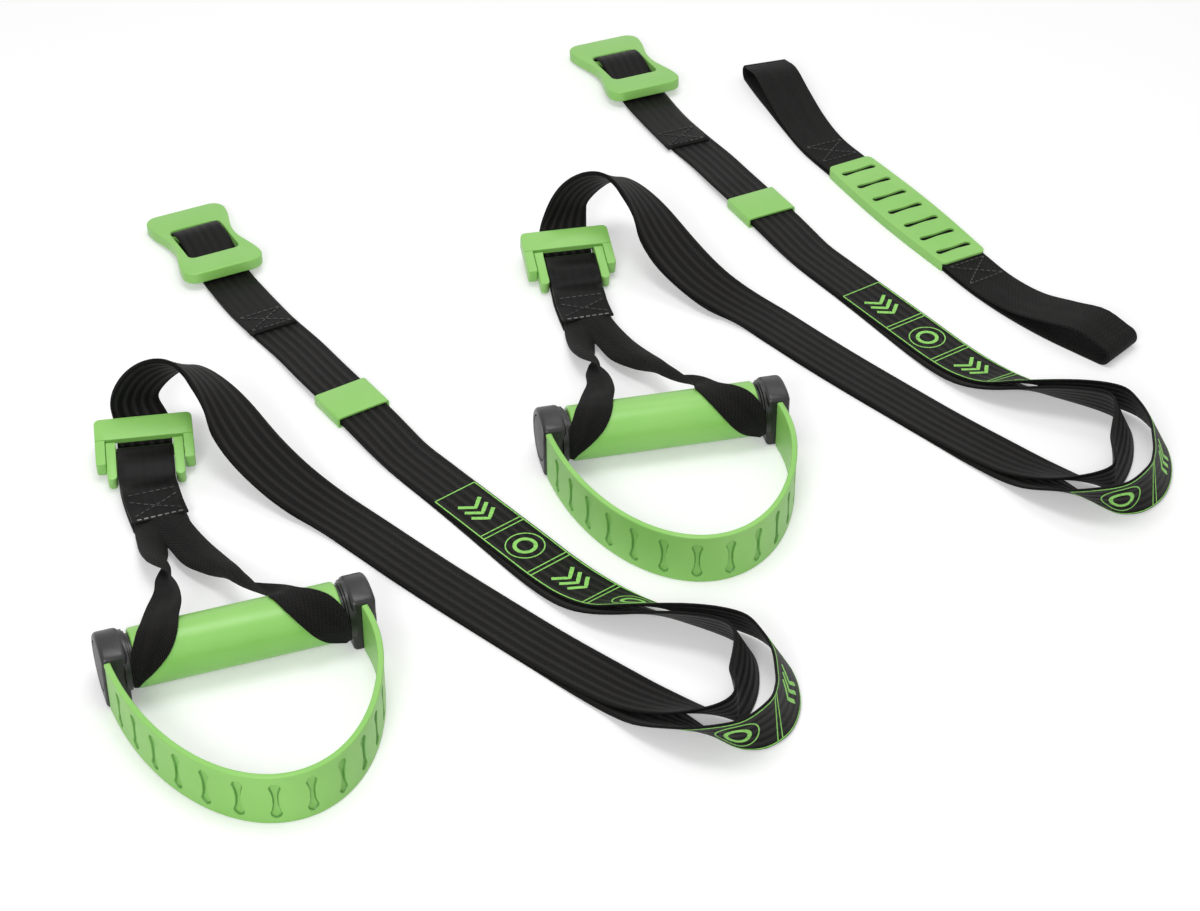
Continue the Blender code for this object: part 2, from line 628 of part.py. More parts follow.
def make_lever(builder, trainer, parent, at_bar, arm_outer):
    body = builder.frame("lever_joint_" + trainer, at_bar, parent)
    local = at_bar.inverted()
    cross_start = LEVER_REACH - LEVER_CROSS
    corners = ((arm_outer, 0), (arm_outer, LEVER_REACH), (-arm_outer, LEVER_REACH), (-arm_outer, 0),
               (-LEVER_ARM_INNER, 0), (-LEVER_ARM_INNER, cross_start), (LEVER_ARM_INNER, cross_start),
               (LEVER_ARM_INNER, 0))
    outline = rounded_corners(corners, LEVER_CROSS / 2 - GAP, 2)
    mesh = outline_mesh("buckle_lever_" + trainer, (outline,), LEVER_FLOOR, LEVER_FLOOR + LEVER_THICK)
    lever = builder.piece("buckle_lever_" + trainer, mesh, "green_plastic", body, local)
    bore = rod_mesh("lever_bore", BAR_RADIUS + GAP, 2 * arm_outer + OVERRUN, SMALL_SIDES)
    combine(lever, builder.cutter("lever_bore_" + trainer, bore, body), "DIFFERENCE")


def tab_route(trainer):
    """Down under the bar, round it and back: one strap end to end, sewn over the legs."""
    buckle = buckle_frame(trainer)
    across = buckle.col[0].xyz
    middle = buckle @ Vector((0, BAR_PLACE, BAR_HEIGHT))
    spacing = 2 * (BAR_RADIUS + GAP + STRAP_THICK / 2)
    rows = [(*middle, *across, spacing)]
    for along, height, gap in TAB_INNER_ROUTE:
        rows.append((*(buckle @ Vector((0, along * mm, height * mm))), *across, gap * mm))
    for x, y, z, gap in TAB_ROUTE:
        rows.append((*floor_place(trainer, x, y), z * mm, *across, gap * mm))
    rows = np.array(rows)
    last = Vector(rows[-1, :3] - rows[-2, :3])
    square = Vector((0, 0, 1)).cross(last).normalized()
    outer = rows[1 + len(TAB_INNER_ROUTE):]
    for index, row in enumerate(outer):
        row[3:6] = Vector(across).lerp(square, (index + 1) / len(outer))
    base = smooth_rows(rows)
    travels, acrosses, faces = squared(base[:, :3], base[:, 3:6])
    offsets = faces * base[:, 6:7] / 2
    wrap = []
    for degrees in FOLD_ANGLES:
        angle = math.radians(degrees)
        place = buckle @ Vector((0, BAR_PLACE + spacing / 2 * math.sin(angle),
                                 BAR_HEIGHT - spacing / 2 * math.cos(angle)))
        wrap.append(tuple(place))
    lower = (base[:, :3] + offsets)[::-1]
    upper = base[:, :3] - offsets
    if lower[-1][2] > upper[0][2]:
        lower, upper = upper[::-1], lower[::-1]
    places = np.vstack((lower, wrap, upper))
    directions = np.vstack((acrosses[::-1], [tuple(across)] * len(wrap), acrosses))
    return places, directions


def leg_route(trainer, side):
    """From between the tab's plies, through a half twist, and round the end of the grip."""
    rows = []
    for x, y, z, ax, ay, az in LEG_ROUTES[side]:
        rows.append((*floor_place(trainer, x, y), z * mm, ax, ay, az))
    handle = handle_frame(trainer)
    radius = GRIP_RADIUS + 2 * GAP + STRAP_THICK / 2
    for along, degrees in LEG_WRAPS[side]:
        angle = math.radians(degrees)
        place = handle @ Vector((along * mm, -radius * math.sin(angle), radius * math.cos(angle)))
        rows.append((*place, *-handle.col[0].xyz))
    route = smooth_rows(rows)
    return route[:, :3], route[:, 3:6]


def make_tab_and_legs(builder, trainer, parent):
    frame = buckle_frame(trainer) @ Matrix.Translation((0, BAR_PLACE, BAR_HEIGHT))
    body = builder.frame("swing_joint_" + trainer, parent_local(parent, frame), parent)
    bpy.context.view_layer.update()
    places, directions = tab_route(trainer)
    ribbon(builder, "tab_webbing_" + trainer, places, directions, TAB_WIDTH, "webbing_black", body)
    for side in ("left", "right"):
        places, directions = leg_route(trainer, side)
        ribbon(builder, "leg_webbing_" + side + "_" + trainer, places, directions, LEG_WIDTH,
               "handle_webbing_black", body)
    return body


def turned_mesh(name, profile):
    """A profile of (radius, place) points turned about the local X axis."""
    made = bmesh.new()
    verts = [made.verts.new((radius, 0, place)) for radius, place in profile]
    for first, last in zip(verts, verts[1:] + verts[:1]):
        made.edges.new((first, last))
    mesh = bpy.data.meshes.new(name)
    made.to_mesh(mesh)
    made.free()
    return mesh


def make_grip(builder, trainer, parent, half_length):
    body = builder.frame("grip_joint_" + trainer, Matrix.Identity(4), parent)
    outer = GRIP_RADIUS
    inner = GRIP_RADIUS - GRIP_WALL
    profile = [(outer, half_length - GRIP_EDGE), (outer, -half_length + GRIP_EDGE),
               (outer - GRIP_EDGE / 3, -half_length + GRIP_EDGE / 3), (outer - GRIP_EDGE, -half_length),
               (inner, -half_length), (inner, half_length), (outer - GRIP_EDGE, half_length),
               (outer - GRIP_EDGE / 3, half_length - GRIP_EDGE / 3)]
    local = Matrix.Rotation(math.pi / 2, 4, "Y")
    grip = builder.piece("grip_" + trainer, turned_mesh("grip", profile), "green_plastic", body, local)
    turn = grip.modifiers.new("turn", "SCREW")
    turn.steps = ROUND_SIDES
    turn.render_steps = ROUND_SIDES
    turn.use_merge_vertices = True
    turn.merge_threshold = WELD


def cap_outline():
    """Side view: round behind the grip, flat below, and square in front where the cradle meets it."""
    top = CRADLE_HEIGHT - CAP_RADIUS
    back = [(CAP_RADIUS * math.cos(angle), CAP_RADIUS * math.sin(angle))
            for angle in (math.radians(-90 + 18 * step) for step in range(11))]
    return back + [(-CAP_FRONT, top), (-CAP_FRONT, -CAP_RADIUS)]


def make_caps(builder, trainer, body):
    """End caps with a neck ring, a seat for the core tube and an inset disc."""
    inner_face = HANDLE_LENGTH / 2 - CAP_LENGTH
    side_view = Matrix(((0, 0, 1, 0), (1, 0, 0, 0), (0, 1, 0, 0), (0, 0, 0, 1)))
    for side, sign in (("left", -1), ("right", 1)):
        low, high = sorted((sign * inner_face, sign * HANDLE_LENGTH / 2))
        mesh = outline_mesh("cap_" + side, (cap_outline(),), low, high)
        mesh.transform(side_view)
        cap = builder.piece("cap_" + side + "_" + trainer, mesh, "black_plastic", body)
        round_edges(cap, CAP_EDGE, 1)
        neck = rod_mesh("neck", NECK_RADIUS, NECK_LENGTH + OVERRUN)
        neck_place = Matrix.Translation((sign * (inner_face - (NECK_LENGTH - OVERRUN) / 2), 0, 0))
        combine(cap, builder.cutter("neck_" + side + "_" + trainer, neck, body, neck_place), "UNION")
        seat_length = NECK_LENGTH + CORE_SEAT_DEPTH + GAP + OVERRUN
        seat_middle = inner_face + CORE_SEAT_DEPTH + GAP - seat_length / 2
        seat = rod_mesh("core_seat", CORE_RADIUS + GAP, seat_length)
        seat_place = Matrix.Translation((sign * seat_middle, 0, 0))
        combine(cap, builder.cutter("core_seat_" + side + "_" + trainer, seat, body, seat_place), "DIFFERENCE")
        pocket = rod_mesh("disc_pocket", DISC_RADIUS + GAP, 2 * (DISC_THICK + GAP))
        outer_face = Matrix.Translation((sign * HANDLE_LENGTH / 2, 0, 0))
        combine(cap, builder.cutter("disc_pocket_" + side + "_" + trainer, pocket, body, outer_face), "DIFFERENCE")
        disc = rod_mesh("cap_disc_" + side, DISC_RADIUS, DISC_THICK)
        disc_place = Matrix.Translation((sign * (HANDLE_LENGTH / 2 - DISC_THICK / 2), 0, 0))
        builder.piece("cap_disc_" + side + "_" + trainer, disc, "grey_plastic", body, disc_place)


def cradle_outline():
    """Half an ellipse, as a band of even thickness, open towards the grip."""
    outer = []
    inner = []
    half_width = HANDLE_LENGTH / 2 - CRADLE_INSET
    start = math.asin((CAP_FRONT + GAP) / CRADLE_DEPTH)
    for step in range(CRADLE_SIDES + 1):
        angle = start + (math.pi - 2 * start) * step / CRADLE_SIDES
        outer.append((half_width * math.cos(angle), -CRADLE_DEPTH * math.sin(angle)))
        inner.append(((half_width - CRADLE_THICK) * math.cos(angle),
                      -(CRADLE_DEPTH - CRADLE_THICK) * math.sin(angle)))
    inner[0] = (inner[0][0], outer[0][1])
    inner[-1] = (inner[-1][0], outer[-1][1])
    return outer + inner[::-1]


def make_handle(builder, trainer, parent):
    frame = handle_frame(trainer)
    body = builder.frame("handle_joint_" + trainer, parent_local(parent, frame), parent)
    make_caps(builder, trainer, body)
    inner_face = HANDLE_LENGTH / 2 - CAP_LENGTH
    core_length = 2 * (inner_face + CORE_SEAT_DEPTH)
    core = builder.piece("core_tube_" + trainer, rod_mesh("core_tube", CORE_RADIUS, core_length), "bar_steel", body)
    bore = rod_mesh("core_bore", CORE_RADIUS - CORE_WALL, core_length + OVERRUN)
    combine(core, builder.cutter("core_bore_" + trainer, bore, body), "DIFFERENCE")
    mesh = outline_mesh("foot_cradle", (cradle_outline(),), -CAP_RADIUS, CRADLE_HEIGHT - CAP_RADIUS)
    smooth_faces(mesh)
    builder.piece("foot_cradle_" + trainer, mesh, "green_plastic", body)
    make_grip(builder, trainer, body, inner_face - NECK_LENGTH - GAP)


def half_turn(row, outward):
    """Places round a fold, from the upper ply down to the lower one."""
    outward = outward * (1, 1, 0)
    outward /= np.linalg.norm(outward)
    places = []
    for degrees in FOLD_ANGLES:
        angle = math.radians(degrees)
        rise = np.array((0, 0, math.cos(angle)))
        places.append(row[:3] + (outward * math.sin(angle) + rise) * row[6] / 2)
    return places


def loop_route():
    """One strap folded at both ends and sewn to itself, its plies a pad apart in the middle."""
    rows = [(x * mm, y * mm, (STRAP_THICK + gap * mm) / 2 + LIFT_OFF, 1, 0, 0, gap * mm)
            for x, y, gap in LOOP_ROUTE]
    rows = np.array(rows)
    level = np.gradient(rows[:, :3], axis=0) * (1, 1, 0)
    rows[:, 3:6] = np.cross(level / np.linalg.norm(level, axis=1, keepdims=True), (0, 0, 1))
    base = smooth_rows(rows)
    rise = base[:, 6:7] / 2 * (0, 0, 1)
    end_fold = half_turn(base[-1], base[-1, :3] - base[-2, :3])
    start_fold = half_turn(base[0], base[0, :3] - base[1, :3])
    acrosses = base[:, 3:6]
    turn_acrosses = [np.tile(acrosses[index], (len(FOLD_ANGLES), 1)) for index in (-1, 0)]
    places = np.vstack((base[:, :3] + rise, end_fold, (base[:, :3] - rise)[::-1], start_fold[::-1]))
    directions = np.vstack((acrosses, turn_acrosses[0], acrosses[::-1], turn_acrosses[1]))
    return places, directions


def make_loop_strap(builder, root):
    body = builder.frame("loop_place", parent_local(root, Matrix.Identity(4)), root)
    bpy.context.view_layer.update()
    places, directions = loop_route()
    ribbon(builder, "loop_webbing", places, directions, STRAP_WIDTH, "handle_webbing_black", body)
    frame = floor_frame((PAD_SITE[0] * mm, PAD_SITE[1] * mm, PAD_FLOOR), PAD_HEADING + math.pi / 2)
    pad_body = builder.frame("pad_joint", parent_local(body, frame), body)
    side = []
    steps = 6
    for step in range(steps + 1):
        share = -1 + 2 * step / steps
        bulge = (PAD_MIDDLE_WIDTH - PAD_END_WIDTH) / 2 * math.cos(math.pi / 2 * share)
        side.append((PAD_END_WIDTH / 2 + bulge, (PAD_LENGTH / 2 - PAD_CORNER) * share))
    ends = [(PAD_END_WIDTH / 2 - PAD_CORNER + PAD_CORNER * math.cos(angle),
             PAD_LENGTH / 2 - PAD_CORNER + PAD_CORNER * math.sin(angle))
            for angle in (math.radians(30 * step) for step in range(1, 4))]
    half = side + ends
    outline = half + [(-x, y) for x, y in reversed(half)]
    outline += [(-x, -y) for x, y in ends] + [(x, -y) for x, y in reversed(ends)]
    slots = [slot_outline(index) for index in range(SLOT_COUNT)]
    mesh = outline_mesh("loop_pad", (outline, *slots), 0.0, PAD_HEIGHT - PAD_FLOOR)
    pad = builder.piece("loop_pad", mesh, "green_plastic", pad_body)
    round_edges(pad, PAD_EDGE, 1)
    channel_top = 2 * STRAP_THICK + 3 * GAP + LIFT_OFF
    low = (-STRAP_WIDTH / 2 - GAP, -PAD_LENGTH, -OVERRUN)
    high = (STRAP_WIDTH / 2 + GAP, PAD_LENGTH, channel_top - PAD_FLOOR)
    combine(pad, builder.cutter("pad_channel", box_mesh("pad_channel", low, high), pad_body), "DIFFERENCE")


def slot_outline(index):
    """A slot with round ends and a narrower waist, across the pad."""
    pitch = (PAD_LENGTH - 2 * SLOT_END_MARGIN) / (SLOT_COUNT - 1)
    middle = (index - (SLOT_COUNT - 1) / 2) * pitch
    reach = SLOT_LENGTH / 2 - SLOT_END_RADIUS
    outline = []
    for sign in (1, -1):
        for step in range(5):
            angle = math.radians(-90 + 45 * step)
            outline.append((sign * (reach + SLOT_END_RADIUS * math.cos(angle)),
                            middle + sign * SLOT_END_RADIUS * math.sin(angle)))
        outline.append((0.0, middle + sign * SLOT_WAIST_RADIUS))
    return outline


def main():
    clear_scene()
    builder = Builder()
    root = builder.frame("set_place", set_matrix())
    for trainer in LAYOUTS:
        strap = builder.frame("strap_place_" + trainer, Matrix.Identity(4), root)
        bpy.context.view_layer.update()
        make_main_webbing(builder, trainer, strap)
        make_plate(builder, trainer, strap)
        make_keeper(builder, trainer, strap)
        make_buckle(builder, trainer, strap)
        swing = make_tab_and_legs(builder, trainer, strap)
        make_handle(builder, trainer, swing)
    make_loop_strap(builder, root)
    bpy.context.view_layer.update()


main()
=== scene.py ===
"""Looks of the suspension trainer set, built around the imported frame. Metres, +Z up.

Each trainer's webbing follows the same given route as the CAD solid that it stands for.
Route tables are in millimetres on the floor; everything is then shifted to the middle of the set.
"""
import json
import math

import bmesh
import bpy
import numpy as np
from mathutils import Matrix, Vector

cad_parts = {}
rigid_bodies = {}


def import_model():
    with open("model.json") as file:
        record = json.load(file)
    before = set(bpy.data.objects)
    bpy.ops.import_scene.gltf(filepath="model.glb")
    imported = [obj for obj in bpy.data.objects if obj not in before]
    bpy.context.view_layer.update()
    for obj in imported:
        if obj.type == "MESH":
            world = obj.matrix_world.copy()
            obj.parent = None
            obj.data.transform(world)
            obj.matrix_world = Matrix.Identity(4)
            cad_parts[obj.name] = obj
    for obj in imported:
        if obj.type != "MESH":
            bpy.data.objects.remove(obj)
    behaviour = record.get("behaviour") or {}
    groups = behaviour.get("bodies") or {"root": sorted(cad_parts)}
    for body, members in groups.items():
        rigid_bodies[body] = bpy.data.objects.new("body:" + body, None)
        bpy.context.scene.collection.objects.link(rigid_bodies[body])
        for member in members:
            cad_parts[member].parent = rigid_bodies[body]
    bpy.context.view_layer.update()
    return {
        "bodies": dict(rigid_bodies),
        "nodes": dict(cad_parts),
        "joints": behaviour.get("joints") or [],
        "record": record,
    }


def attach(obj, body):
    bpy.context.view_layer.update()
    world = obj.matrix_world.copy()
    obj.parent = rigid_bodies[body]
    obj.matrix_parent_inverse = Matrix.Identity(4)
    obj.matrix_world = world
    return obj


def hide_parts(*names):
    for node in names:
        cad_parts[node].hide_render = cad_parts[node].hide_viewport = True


mm = 0.001

# Clearances and fineness
GAP = 0.3 * mm
LIFT_OFF = 0.2 * mm
OVERRUN = 4 * mm
WELD = 0.05 * mm
STRAP_STEP = 6 * mm
TURN_STEP = math.radians(8)
LATHE_SIDES = 64
BORE_SIDES = 24
TOP_STEPS = 8
LINE_STEP = 2 * mm
# Angles round a fold, in degrees: first, last and how many steps
FOLD_ARC = (15, 165, 10)

# Place of the set on the floor
SET_SHIFT = Vector((-16.58, -93.52, -0.06)) * mm

# Webbing
STRAP_WIDTH = 30 * mm
STRAP_THICK = 1.5 * mm
PLY_PITCH = STRAP_THICK + GAP
TAB_WIDTH = 31 * mm
LEG_WIDTH = 25.5 * mm
LEG_CURL = 0.3
TAB_BULGE = 1.5 * mm
WINDOW_PUFF = 0.8 * mm

# Anchor plate
PLATE_HALF_WIDTH = 25.5 * mm
PLATE_HALF_LENGTH = 40.5 * mm
PLATE_THICK = 7 * mm
PLATE_CORNER = 8.5 * mm
PLATE_WAIST_DEPTH = 5.6 * mm
PLATE_EDGE = 3.1 * mm
PLATE_TURN = {"a": math.radians(-3), "b": 0.0}
PLATE_MIDDLE = 6.4 * mm
PLATE_TILT = math.radians(3.5)
OPENING_HALF_WIDTH = 16.2 * mm
OPENING_NEAR = -20.5 * mm
OPENING_FAR = 18.5 * mm
OPENING_CORNER = 4 * mm
CROSSBAR_PLACE = 12 * mm
CROSSBAR_RADIUS = 2.6 * mm

# Keeper sleeve
KEEPER_WALL = 1.3 * mm
KEEPER_LENGTH = 27 * mm
KEEPER_SIDE_GAP = 0.5 * mm
KEEPER_ROOM = 2 * STRAP_THICK + 4 * GAP
KEEPER_CORNER = 1.6 * mm
KEEPER_EDGE = 0.35 * mm

# Cam buckle
BUCKLE_HALF_WIDTH = 27 * mm
BUCKLE_DEPTH = 43 * mm
BUCKLE_THICK = 9.6 * mm
BRIDGE_START = 28 * mm
CHEEK_START = 11 * mm
CHEEK_WIDTH = 5.5 * mm
BUCKLE_FAR_CORNER = 3.2 * mm
BUCKLE_NEAR_CORNER = 1.5 * mm
BUCKLE_EDGE = 0.9 * mm
BUCKLE_SEAM = 0.35 * mm
BUCKLE_SEAM_DEPTH = 0.5 * mm
BUCKLE_SLOPE = math.radians(15)
CHANNEL_HALF_WIDTH = 16.2 * mm
CHANNEL_HEIGHT = 5.9 * mm
BAR_PLACE = 20 * mm
BAR_HEIGHT = 4.6 * mm
BAR_RADIUS = 2.4 * mm
BAR_SEAT_DEPTH = 3 * mm
FOLD_PLACE = 30.3 * mm
FOLD_HEIGHT = 2.2 * mm
FOLD_RADIUS = 1.6 * mm
FOLD_SPACING = 2 * (FOLD_RADIUS + GAP + STRAP_THICK / 2)
FOLD_SEAT_DEPTH = 3 * mm
LEVER_ARM_INNER = 15.9 * mm
LEVER_REACH = 26 * mm
LEVER_THICK = 8.6 * mm
LEVER_CROSS_HEIGHT = 2.6 * mm
LEVER_FLOOR = 0.9 * mm
LEVER_CROSS = 1.9 * mm
LEVER_TIP = 2.5 * mm
LEVER_EDGE = 0.35 * mm

# Handle
HANDLE_LENGTH = 140 * mm
CAP_LENGTH = 13 * mm
CAP_RADIUS = 18 * mm
CAP_FRONT = 13.5 * mm
CAP_TOP = 16.2 * mm
CAP_EDGE = 2.4 * mm
NECK_LENGTH = 3.6 * mm
# Neck rings: place along the handle and radius
NECK_STEPS = ((57, 15.6), (55.9, 15.6), (55.5, 14.4), (54.8, 14.4), (54.4, 13), (53.4, 13))
CORE_RADIUS = 10.5 * mm
CORE_SEAT_DEPTH = 7 * mm
GRIP_RADIUS = 15.5 * mm
GRIP_WALL = 4.6 * mm
GRIP_EDGE = 1.6 * mm
DISC_RADIUS = 12.5 * mm
DISC_THICK = 2 * mm
DISC_GROOVE = 0.6 * mm
CRADLE_INSET = 1 * mm
CRADLE_DEPTH = 121 * mm
CRADLE_THICK = 3 * mm
CRADLE_HEIGHT = 30 * mm
CRADLE_EDGE = 0.8 * mm
CRADLE_PULL = 3.5 * mm
CRADLE_PULL_START = 55 * mm
LIP_HEIGHT = 2.6 * mm
LIP_REACH = 0.3 * mm
LIP_SHARE = 0.6
RECESS_PITCH = 18.2 * mm
RECESS_COUNT = 14
RECESS_FIRST_SHARE = 0.6
RECESS_HALF_HEIGHT = 10.6 * mm
RECESS_END_RADIUS = 2.9 * mm
RECESS_WAIST = 1.4 * mm
RECESS_DEPTH = 1.5 * mm
RECESS_SIDE = 0.55 * mm
RECESS_RISE = -3.6 * mm
RECESS_FLARE = 2.4
# Painted shade in the cradle's recesses: its strength at their walls and on their floors
RECESS_WALL_SHADE = 2.8
RECESS_FLOOR_SHADE = 0.08
CRADLE_CELL = 0.45 * mm
CRADLE_SAMPLES = 4001

# Loop strap
PAD_LENGTH = 130 * mm
PAD_END_WIDTH = 32 * mm
PAD_MIDDLE_WIDTH = 36 * mm
PAD_HEIGHT = 6.8 * mm
PAD_FLOOR = 0.3 * mm
PAD_WALL = 1.4 * mm
PAD_EDGE = 0.9 * mm
PAD_CORNER = 4 * mm
SLOT_COUNT = 7
SLOT_END_MARGIN = 12.2 * mm
SLOT_LENGTH = 25 * mm
SLOT_END_RADIUS = 2.2 * mm
SLOT_WAIST_RADIUS = 1.5 * mm
SLOT_SHARES = (0.6, 0.3, 0.0, -0.3, -0.6)
SLOT_FLARE = 1.6

# Looks. Scales are in cycles per metre, runs are shares of a noise, depths belong to the relief
DRIFT_SCALE = 28.0
DRIFT_RUN_SHARE = (0.32, 0.68)
FINE_SCALE = 420.0
GRAIN_SCALE = 2400.0
GRAIN_DEPTH = 0.06 * mm
FINE_SHARE = 0.6
PLASTIC_GLOSS = (-0.06, 0.08)
STREAK_SCALE = 380.0
STREAK_STRETCH = (1.0, 0.07, 1.0)
STREAK_HEIGHT = 0.10
STREAK_TONE = 0.50
CLOUD_SCALE = 45.0
CLOUD_TONE = 0.30
FALLING_SHARE = 0.5
WEBBING_GLOSS = (-0.08, 0.10)
TONE_RUN_SHARE = (0.28, 0.85)
# Rib crests painted lighter: a painted sheen along the ribs
RIB_PAINTED_SHEEN = 2.4
WEAVE_RELIEF = 0.9
WEAVE_DEPTH = 1 * mm
WEBBING_SHEEN = {"Specular IOR Level": 0.10, "Sheen Weight": 0.03, "Sheen Roughness": 0.5}
WEBBING_COLORS = ((0.0025, 0.0023, 0.0022), (0.0175, 0.0160, 0.0150))
# Stretch along the strap, in metres, over which the pressed ribs give way to full ones
SMOOTH_RUN = (0.10, 0.17)
SMOOTH_RELIEF = 0.16
SMOOTH_GLOSS = 0.22
# Each weave: share of the picks in the tone, roughness, pitch and height of ribs, then of twill
WEAVES = {
    "webbing": (0.05, 0.56, 5.4 * mm, 0.20 * mm, 1.5 * mm, 0.05 * mm, SMOOTH_RUN),
    "tab": (0.02, 0.30, 5.4 * mm, 0.02 * mm, 1.3 * mm, 0.03 * mm),
    "leg": (0.30, 0.70, 12.0 * mm, 0.03 * mm, 1.45 * mm, 0.16 * mm),
}
# Each plastic: its two colours, roughness, strength of the grain, and the colour of painted shade in its
# recesses
GREENS = ((0.262, 0.597, 0.125), (0.300, 0.635, 0.150))
PLASTICS = {
    "green": (GREENS, 0.32, 0.25),
    "cradle": (GREENS, 0.42, 0.25, (0.045, 0.200, 0.030)),
    "pad": (((0.270, 0.600, 0.135), (0.310, 0.640, 0.160)), 0.50, 0.35),
    "black": (((0.007, 0.007, 0.007), (0.013, 0.013, 0.013)), 0.34, 0.30),
    "grey": (((0.045, 0.045, 0.046), (0.060, 0.060, 0.061)), 0.50, 0.50),
}
# Each fine look: two colours and their run, scale of patches, scale and detail of the grain, the
# grain's range of roughness, its strength and depth in the relief, and metal
FINE_LOOKS = {
    "thread": (((0.020, 0.020, 0.020), (0.070, 0.068, 0.066)), (0.3, 0.7), 90.0, 1600.0, 1.0,
               (0.45, 0.75), 0.5, 0.1 * mm),
    "edge_thread": (((0.10, 0.10, 0.10), (0.38, 0.37, 0.36)), (0.3, 0.7), 90.0, 1600.0, 1.0,
                    (0.45, 0.75), 0.5, 0.1 * mm),
    "ink": (((0.13, 0.36, 0.07), (0.30, 0.70, 0.14)), (0.25, 0.5), 700.0, 1500.0, 1.0,
            (0.5, 0.75), 0.4, 0.08 * mm),
    "steel": (((0.035, 0.035, 0.036), (0.060, 0.060, 0.061)), (0.3, 0.7), 60.0, 900.0, 2.0,
              (0.25, 0.42), 0.2, 0.05 * mm, 1.0),
}

# Stitches and print
STITCH_LENGTH = 2.3 * mm
STITCH_SPACE = 1.1 * mm
STITCH_WIDTH = 0.55 * mm
PRINT_LINE = 0.7 * mm
PRINT_BOLD = 2.2 * mm
PRINT_THICK = 0.3 * mm
PRINT_INSET = 1.4 * mm
PRINT_PAIR = 3 * mm
CHEVRON_PITCH = 6 * mm
CHEVRON_SHARE = 0.55
CHEVRON_SLOPE = 0.8
INNER_RING_SHARE = 0.42
OUTER_RING_SHARE = 0.78
SEAM_INSET = 2.2 * mm
END_STITCH_INSET = 2 * mm
END_STITCHES = (3 * mm, 19 * mm)
TAB_LINE = 21 * mm
TAB_CROSS = (17 * mm, 4 * mm)
TAB_RIM = 1 * mm
LOOP_STITCHES = (102 * mm, 122 * mm)

# Where each trainer lies
LAYOUTS = {
    "a": {"stretch_share": ((1.0, 0.0), (0.0, 1.0)), "shift": (0, 0)},
    "b": {"stretch_share": ((1.010, 0.115), (0.047, 1.113)), "shift": (239, 209)},
}
PLATE_SITE = (-244.5, 210)
PLATE_HEADING = {"a": math.radians(30), "b": math.radians(24)}
KEEPER_SITE = (-144, 46.5)
BUCKLE_SITE = (-248, -29, 0.3)
BUCKLE_HEADING = {"a": math.radians(9.5), "b": math.radians(11.5)}
HANDLE_SITE = {"a": (-183, -173.5), "b": (34.5, 8)}
HANDLE_HEADING = {"a": math.radians(20), "b": math.radians(13)}
PAD_SITE = (192, 250)
PAD_HEADING = math.radians(-61)

# Strap from the anchor plate to the arch. Each row: x, y of the far edge, height of the pair's middle,
# lean in degrees (0 is flat with the printed face up), inward spread of the tail ply
FLOOR_ROUTE = (
    (-216, 189, 0.1, 0, 0), (-196, 154, 0.1, 0, 0), (-180, 131, 0.4, 0, 0), (-164, 108, 1.6, 0, 0),
    (-149, 84, 3.0, 0, 0), (-138, 67.5, 3.4, 0, 0), (-129, 54, 3.5, 0, 0), (-117, 36.5, 3.4, 0, 0),
    (-108, 23, 2.9, 0, 0), (-97, 7, 2.0, 0, 0), (-82, -11, 1.8, 0, 0), (-55, -43, 1.8, 0, 1),
    (-28, -75, 1.8, 0, 3), (-13, -93, 1.8, 1, 4), (0, -107, 1.8, 4, 5), (13, -119, 1.7, 13, 6),
    (26, -129, 1.6, 30, 4), (39, -137, 1.4, 44, 3), (54, -144, 1.2, 54, 3), (70, -151, 1.1, 59, 4),
    (83, -160, 1.1, 61, 7), (92, -174, 1.1, 61, 12), (98, -193, 1.1, 62, 18), (98, -212, 1.0, 64, 21),
    (92, -228, 0.9, 73, 22), (82, -237, 0.9, 86, 20), (71, -238, 0.9, 108, 17), (60, -231, 1.2, 132, 13),
    (49, -220, 1.6, 151, 9), (37, -208, 2.0, 167, 5), (25, -195, 2.0, 176, 3), (8, -179, 1.9, 179, 2),
    (-12, -160, 1.8, 180, 0), (-38, -136, 1.8, 180, 0), (-65, -111, 1.8, 180, 0),
    (-90, -87, 1.8, 180, 0), (-112, -65, 1.9, 180, 0), (-130, -48, 2.6, 180, 0),
)
# Arch over the buckle. Each row: x, y, height of the middle, and the direction from edge to edge
ARCH_ROUTE = (
    (-157.3, -48.1, 7, 0.70, 0.71, 0.07), (-173.1, -35.6, 12.5, 0.80, 0.56, 0.18),
    (-189.5, -20.8, 20.5, 0.86, 0.47, 0.20), (-200.3, -8.4, 28, 0.77, 0.63, 0.08),
    (-209.1, 4.5, 35, 0.49, 0.85, -0.17), (-220.0, 17.0, 40, 0.27, 0.91, -0.33),
    (-228.0, 23.5, 42.6, 0.12, 0.88, -0.47), (-235.5, 26.5, 43, 0.10, 0.74, -0.66),
    (-244.0, 27, 41, 0.25, 0.59, -0.76), (-251.5, 24.5, 37.5, 0.42, 0.50, -0.75),
    (-257.0, 21, 32, 0.60, 0.50, -0.62), (-259.5, 19, 25, 0.80, 0.50, -0.33),
)
# Row of the floor route where the tail ends, and how far its places are evened out
TAIL_END_ROW = 5
TAIL_EVENING = 4
# The strap's short end: x, y, height. The tab inside the buckle: place, height, spacing of its plies.
# The tab beyond it: x, y, height, spacing
SHORT_END_ROUTE = ((-193, 121, 2.9), (-202, 135, 2.8), (-214, 154, 2.8), (-228, 178, 2.8))
TAB_INNER_ROUTE = ((10, 5.2, 6.7), (0, 5.4, 6.3))
TAB_ROUTE = ((-244.5, -42, 4.8, 5.6), (-240.5, -53, 4.0, 5.6), (-236, -64.5, 3.9, 5.8))
